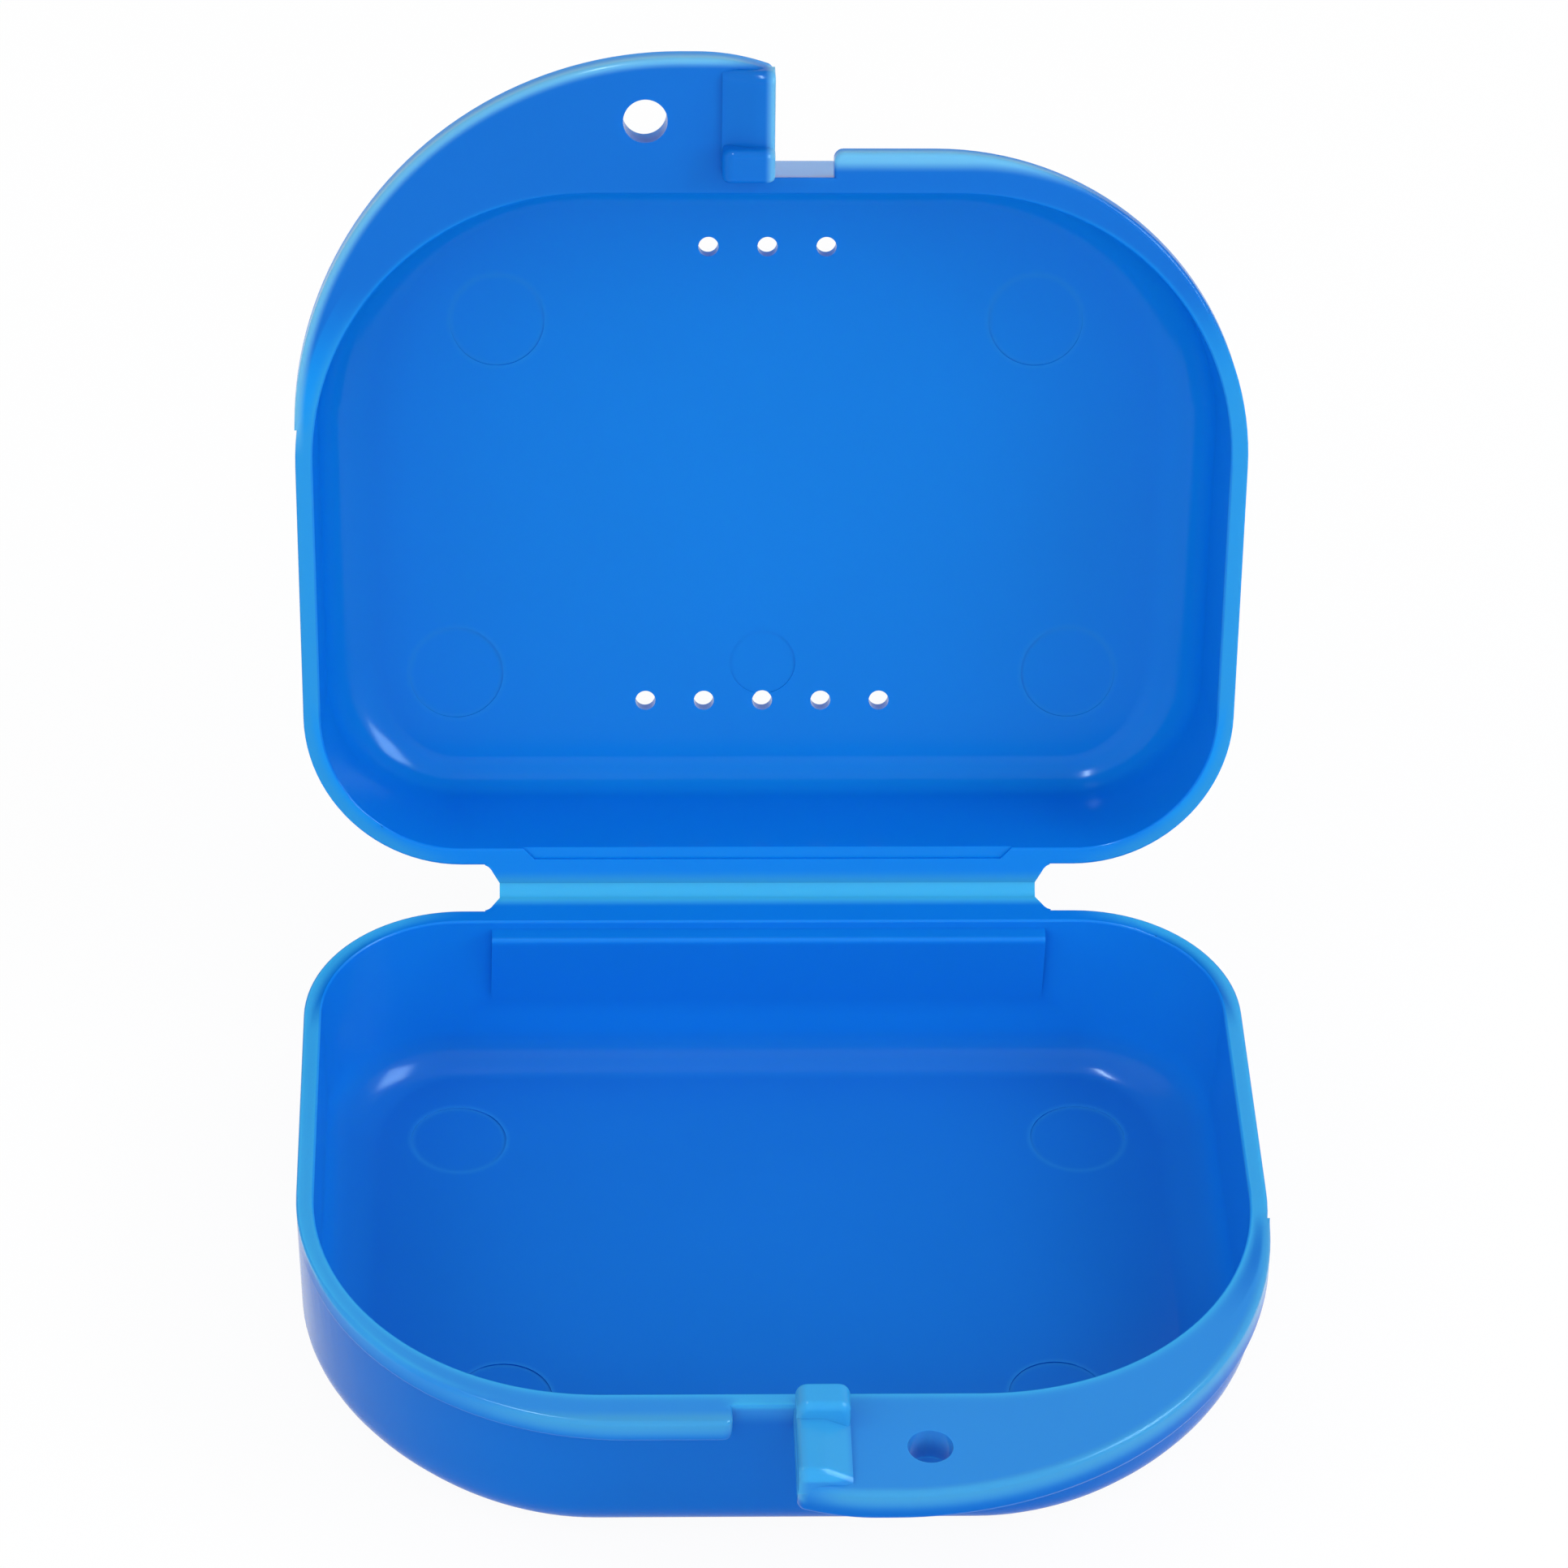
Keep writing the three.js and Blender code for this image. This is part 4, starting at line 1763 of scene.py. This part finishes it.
@dataclass
class HingeFilm:
    """The thin film between the two leaves, on which the lid swings, built bent to its one
    opening.
    """

    hinge: Hinge
    name: str = "hinge_film"
    steps: int = 18
    smooth_degrees: float = 40

    def build(self, finish: MouldedPolypropylene) -> bpy.types.Object:
        """Spins the film's section from one leaf to the other.

        Args:
            finish: What the film is moulded of.

        Returns:
            The finished piece.
        """
        hinge = self.hinge
        opening = math.radians(hinge.opening_degrees)
        bend = hinge.rim_below + hinge.film_reach * math.tan(opening / 2)
        rim = -hinge.rim_below
        bpy.ops.mesh.primitive_plane_add(size=1, rotation=(math.pi / 2, 0, 0))
        piece = bpy.context.active_object
        piece.name = self.name
        piece.scale = (2 * hinge.film_half_width, hinge.film_thickness, 1)
        piece.location = (0, -hinge.film_reach, rim - hinge.film_thickness / 2)
        settle()
        with editing(piece):
            bpy.ops.mesh.select_all(action="SELECT")
            bpy.ops.mesh.spin(
                steps=self.steps,
                angle=math.pi - opening,
                center=(0, -hinge.film_reach, rim + bend),
                axis=(-1, 0, 0),
            )
            bpy.ops.mesh.select_all(action="SELECT")
            bpy.ops.mesh.remove_doubles(threshold=MERGE)
            face_outwards()
        place = hinge.place(Turn.AS_MODELLED)
        set_down(piece, place, self.smooth_degrees)
        dress(piece, finish.make(place))
        return piece

    def ends(self) -> tuple[Vector, Vector]:
        """Where the film leaves the base's leaf and where it reaches the lid's.

        Returns:
            Both points, in metres.
        """
        hinge = self.hinge
        here = Vector((0, -hinge.film_reach * MM, -hinge.rim_below * MM))
        return hinge.place(Turn.AS_MODELLED) @ here, hinge.place(Turn.OVER) @ here


# Studio


@dataclass(frozen=True)
class Lamp:
    """A soft rectangular lamp that looks at the case."""

    name: str
    place_mm: tuple[float, float, float]
    size_mm: tuple[float, float]
    radiance: float
    along: tuple[float, float, float] = (1.0, 0.0, 0.0)
    colour: str = "#FFFFFF"
    lights_matt: bool = True
    seen_in_gloss: bool = True

    def hang(self, target: Vector) -> None:
        """Hangs the lamp.

        Args:
            target: The point that it looks at, in metres.
        """
        width, height = (side * MM for side in self.size_mm)
        data = bpy.data.lights.new(self.name, "AREA")
        data.shape = "RECTANGLE"
        data.size = width
        data.size_y = height
        data.energy = self.radiance * math.pi * width * height
        data.color = linear(self.colour)[:3]
        lamp = bpy.data.objects.new(self.name, data)
        bpy.context.scene.collection.objects.link(lamp)
        place = Vector(self.place_mm) * MM
        back = (place - target).normalized()
        side = Vector(self.along)
        side = (side - back * side.dot(back)).normalized()
        axes = Matrix((side, back.cross(side), back)).transposed().to_4x4()
        lamp.matrix_world = Matrix.Translation(place) @ axes
        lamp.visible_diffuse = self.lights_matt
        lamp.visible_glossy = self.seen_in_gloss
        lamp.visible_camera = False


@dataclass
class Studio:
    """Floor, lamps, world and the camera, placed as for the photograph."""

    camera_mm: tuple[float, float, float] = (-38.88, -665.27, 632.60)
    yaw_degrees: float = 3.278
    pitch_degrees: float = 40.844
    roll_degrees: float = 2.061
    focal_pixels: float = 13539.0
    sensor_mm: float = 36.0
    nearest_seen_m: float = 0.01
    farthest_seen_m: float = 20
    floor_half_m: float = 2.5
    target_mm: tuple[float, float, float] = (0, 15, 25)
    window_mm: tuple[float, float, float] = (514, -99, 431)
    window_along: tuple[float, float, float] = (-0.13, 0.77, 0.38)
    ambient: float = 0.7

    def lamps(self) -> tuple[Lamp, ...]:
        """Lists the lamps that light the case, then the two that only show in its gloss.

        Returns:
            The lamps.
        """
        return (
            Lamp(
                "window",
                self.window_mm,
                (700, 320),
                2.4,
                along=self.window_along,
                seen_in_gloss=False,
            ),
            Lamp("room", (-200, -1500, 800), (1500, 900), 2.2, seen_in_gloss=False),
            Lamp("left_wall", (-900, -350, 700), (700, 700), 1.4, seen_in_gloss=False),
            Lamp(
                "window_glint",
                self.window_mm,
                (380, 260),
                42.0,
                along=self.window_along,
                colour="#A8D8FF",
                lights_matt=False,
            ),
            Lamp(
                "ceiling_glint",
                (-150, 40, 700),
                (20, 260),
                240.0,
                colour="#C8E8FF",
                lights_matt=False,
            ),
        )

    def build(self) -> None:
        """Makes everything around the object."""
        self.make_floor()
        self.make_world()
        for lamp in self.lamps():
            lamp.hang(Vector(self.target_mm) * MM)
        self.make_camera()
        view = bpy.context.scene.view_settings
        view.view_transform = "Standard"

    def make_floor(self) -> None:
        """Lays the floor under the base."""
        bpy.ops.mesh.primitive_plane_add(size=2 * self.floor_half_m, location=(0, 0, 0))
        floor = bpy.context.active_object
        floor.name = "floor"
        dress(floor, PaleFloor().make())

    def make_world(self) -> None:
        """Gives even light from all round, and white where the camera sees past the floor."""
        world = bpy.data.worlds.new("soft_room")
        bpy.context.scene.world = world
        world.use_nodes = True
        tree = world.node_tree
        tree.nodes.clear()
        strength = add_node(
            tree,
            "ShaderNodeMapRange",
            None,
            {"Value": shows_backdrop(tree), "To Min": self.ambient, "To Max": 1.0},
        )
        light = add_node(
            tree,
            "ShaderNodeBackground",
            None,
            {"Color": linear("#FFFFFF"), "Strength": strength},
        )
        add_node(tree, "ShaderNodeOutputWorld", None, {"Surface": light})

    def make_camera(self) -> None:
        """Places the camera as fitted to the photograph."""
        yaw, pitch, roll = (
            math.radians(angle)
            for angle in (self.yaw_degrees, self.pitch_degrees, self.roll_degrees)
        )
        flat = Vector((math.sin(yaw), math.cos(yaw), 0))
        ahead = flat * math.cos(pitch) - Vector((0, 0, math.sin(pitch)))
        level = Vector((math.cos(yaw), -math.sin(yaw), 0))
        above = level.cross(ahead)
        right = level * math.cos(roll) + above * math.sin(roll)
        up = above * math.cos(roll) - level * math.sin(roll)
        data = bpy.data.cameras.new("camera")
        data.sensor_width = self.sensor_mm
        data.lens = self.focal_pixels / PHOTO_PIXELS * self.sensor_mm
        data.clip_start = self.nearest_seen_m
        data.clip_end = self.farthest_seen_m
        camera = bpy.data.objects.new("camera", data)
        bpy.context.scene.collection.objects.link(camera)
        axes = Matrix((right, up, -ahead)).transposed().to_4x4()
        camera.matrix_world = Matrix.Translation(Vector(self.camera_mm) * MM) @ axes
        bpy.context.scene.camera = camera


def main() -> None:
    """Loads the frame, builds the case and its studio, and reports each piece."""
    logging.basicConfig(level=logging.INFO, format="%(name)s: %(message)s")
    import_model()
    hinge = Hinge()
    # Both halves are one plastic. Each half's shades are painted light and shade matched to how it
    # is lit: the lid's outside is painted lighter than the base's, and its front rim keeps little
    # painted glow.
    base_finish = MouldedPolypropylene("blue_polypropylene_base")
    lid_finish = MouldedPolypropylene(
        "blue_polypropylene_lid",
        outer="#0A8CE0",
        walled="#067ADA",
        floor="#0A7BD4",
        top="#0A68C4",
        thin="#2A90CE",
        edge="#64B0DC",
        front_rim_share=0.05,
        outer_gloss=0.02,
    )
    halves = (
        (BaseHalf(hinge, "base_moulding", Turn.AS_MODELLED), "base", base_finish),
        (LidHalf(hinge, "lid_moulding", Turn.OVER), "lid", lid_finish),
    )
    for half, body, finish in halves:
        piece = half.build(finish)
        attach(piece, body)
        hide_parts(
            *(f"{body}_{part}" for part in ("shell", "thumb_flange", "latch_hook", "hinge_leaf")),
        )
        LOG.info("%s: %d faces", piece.name, len(piece.data.polygons))
    film = HingeFilm(hinge)
    # The film has the painted glow colour all over.
    strip = film.build(MouldedPolypropylene("thin_polypropylene"))
    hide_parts("hinge_web")
    start, end = film.ends()
    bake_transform(strip)
    LOG.info("%s: %d faces", strip.name, len(strip.data.polygons))
    Studio().build()


if __name__ == "__main__":
    main()
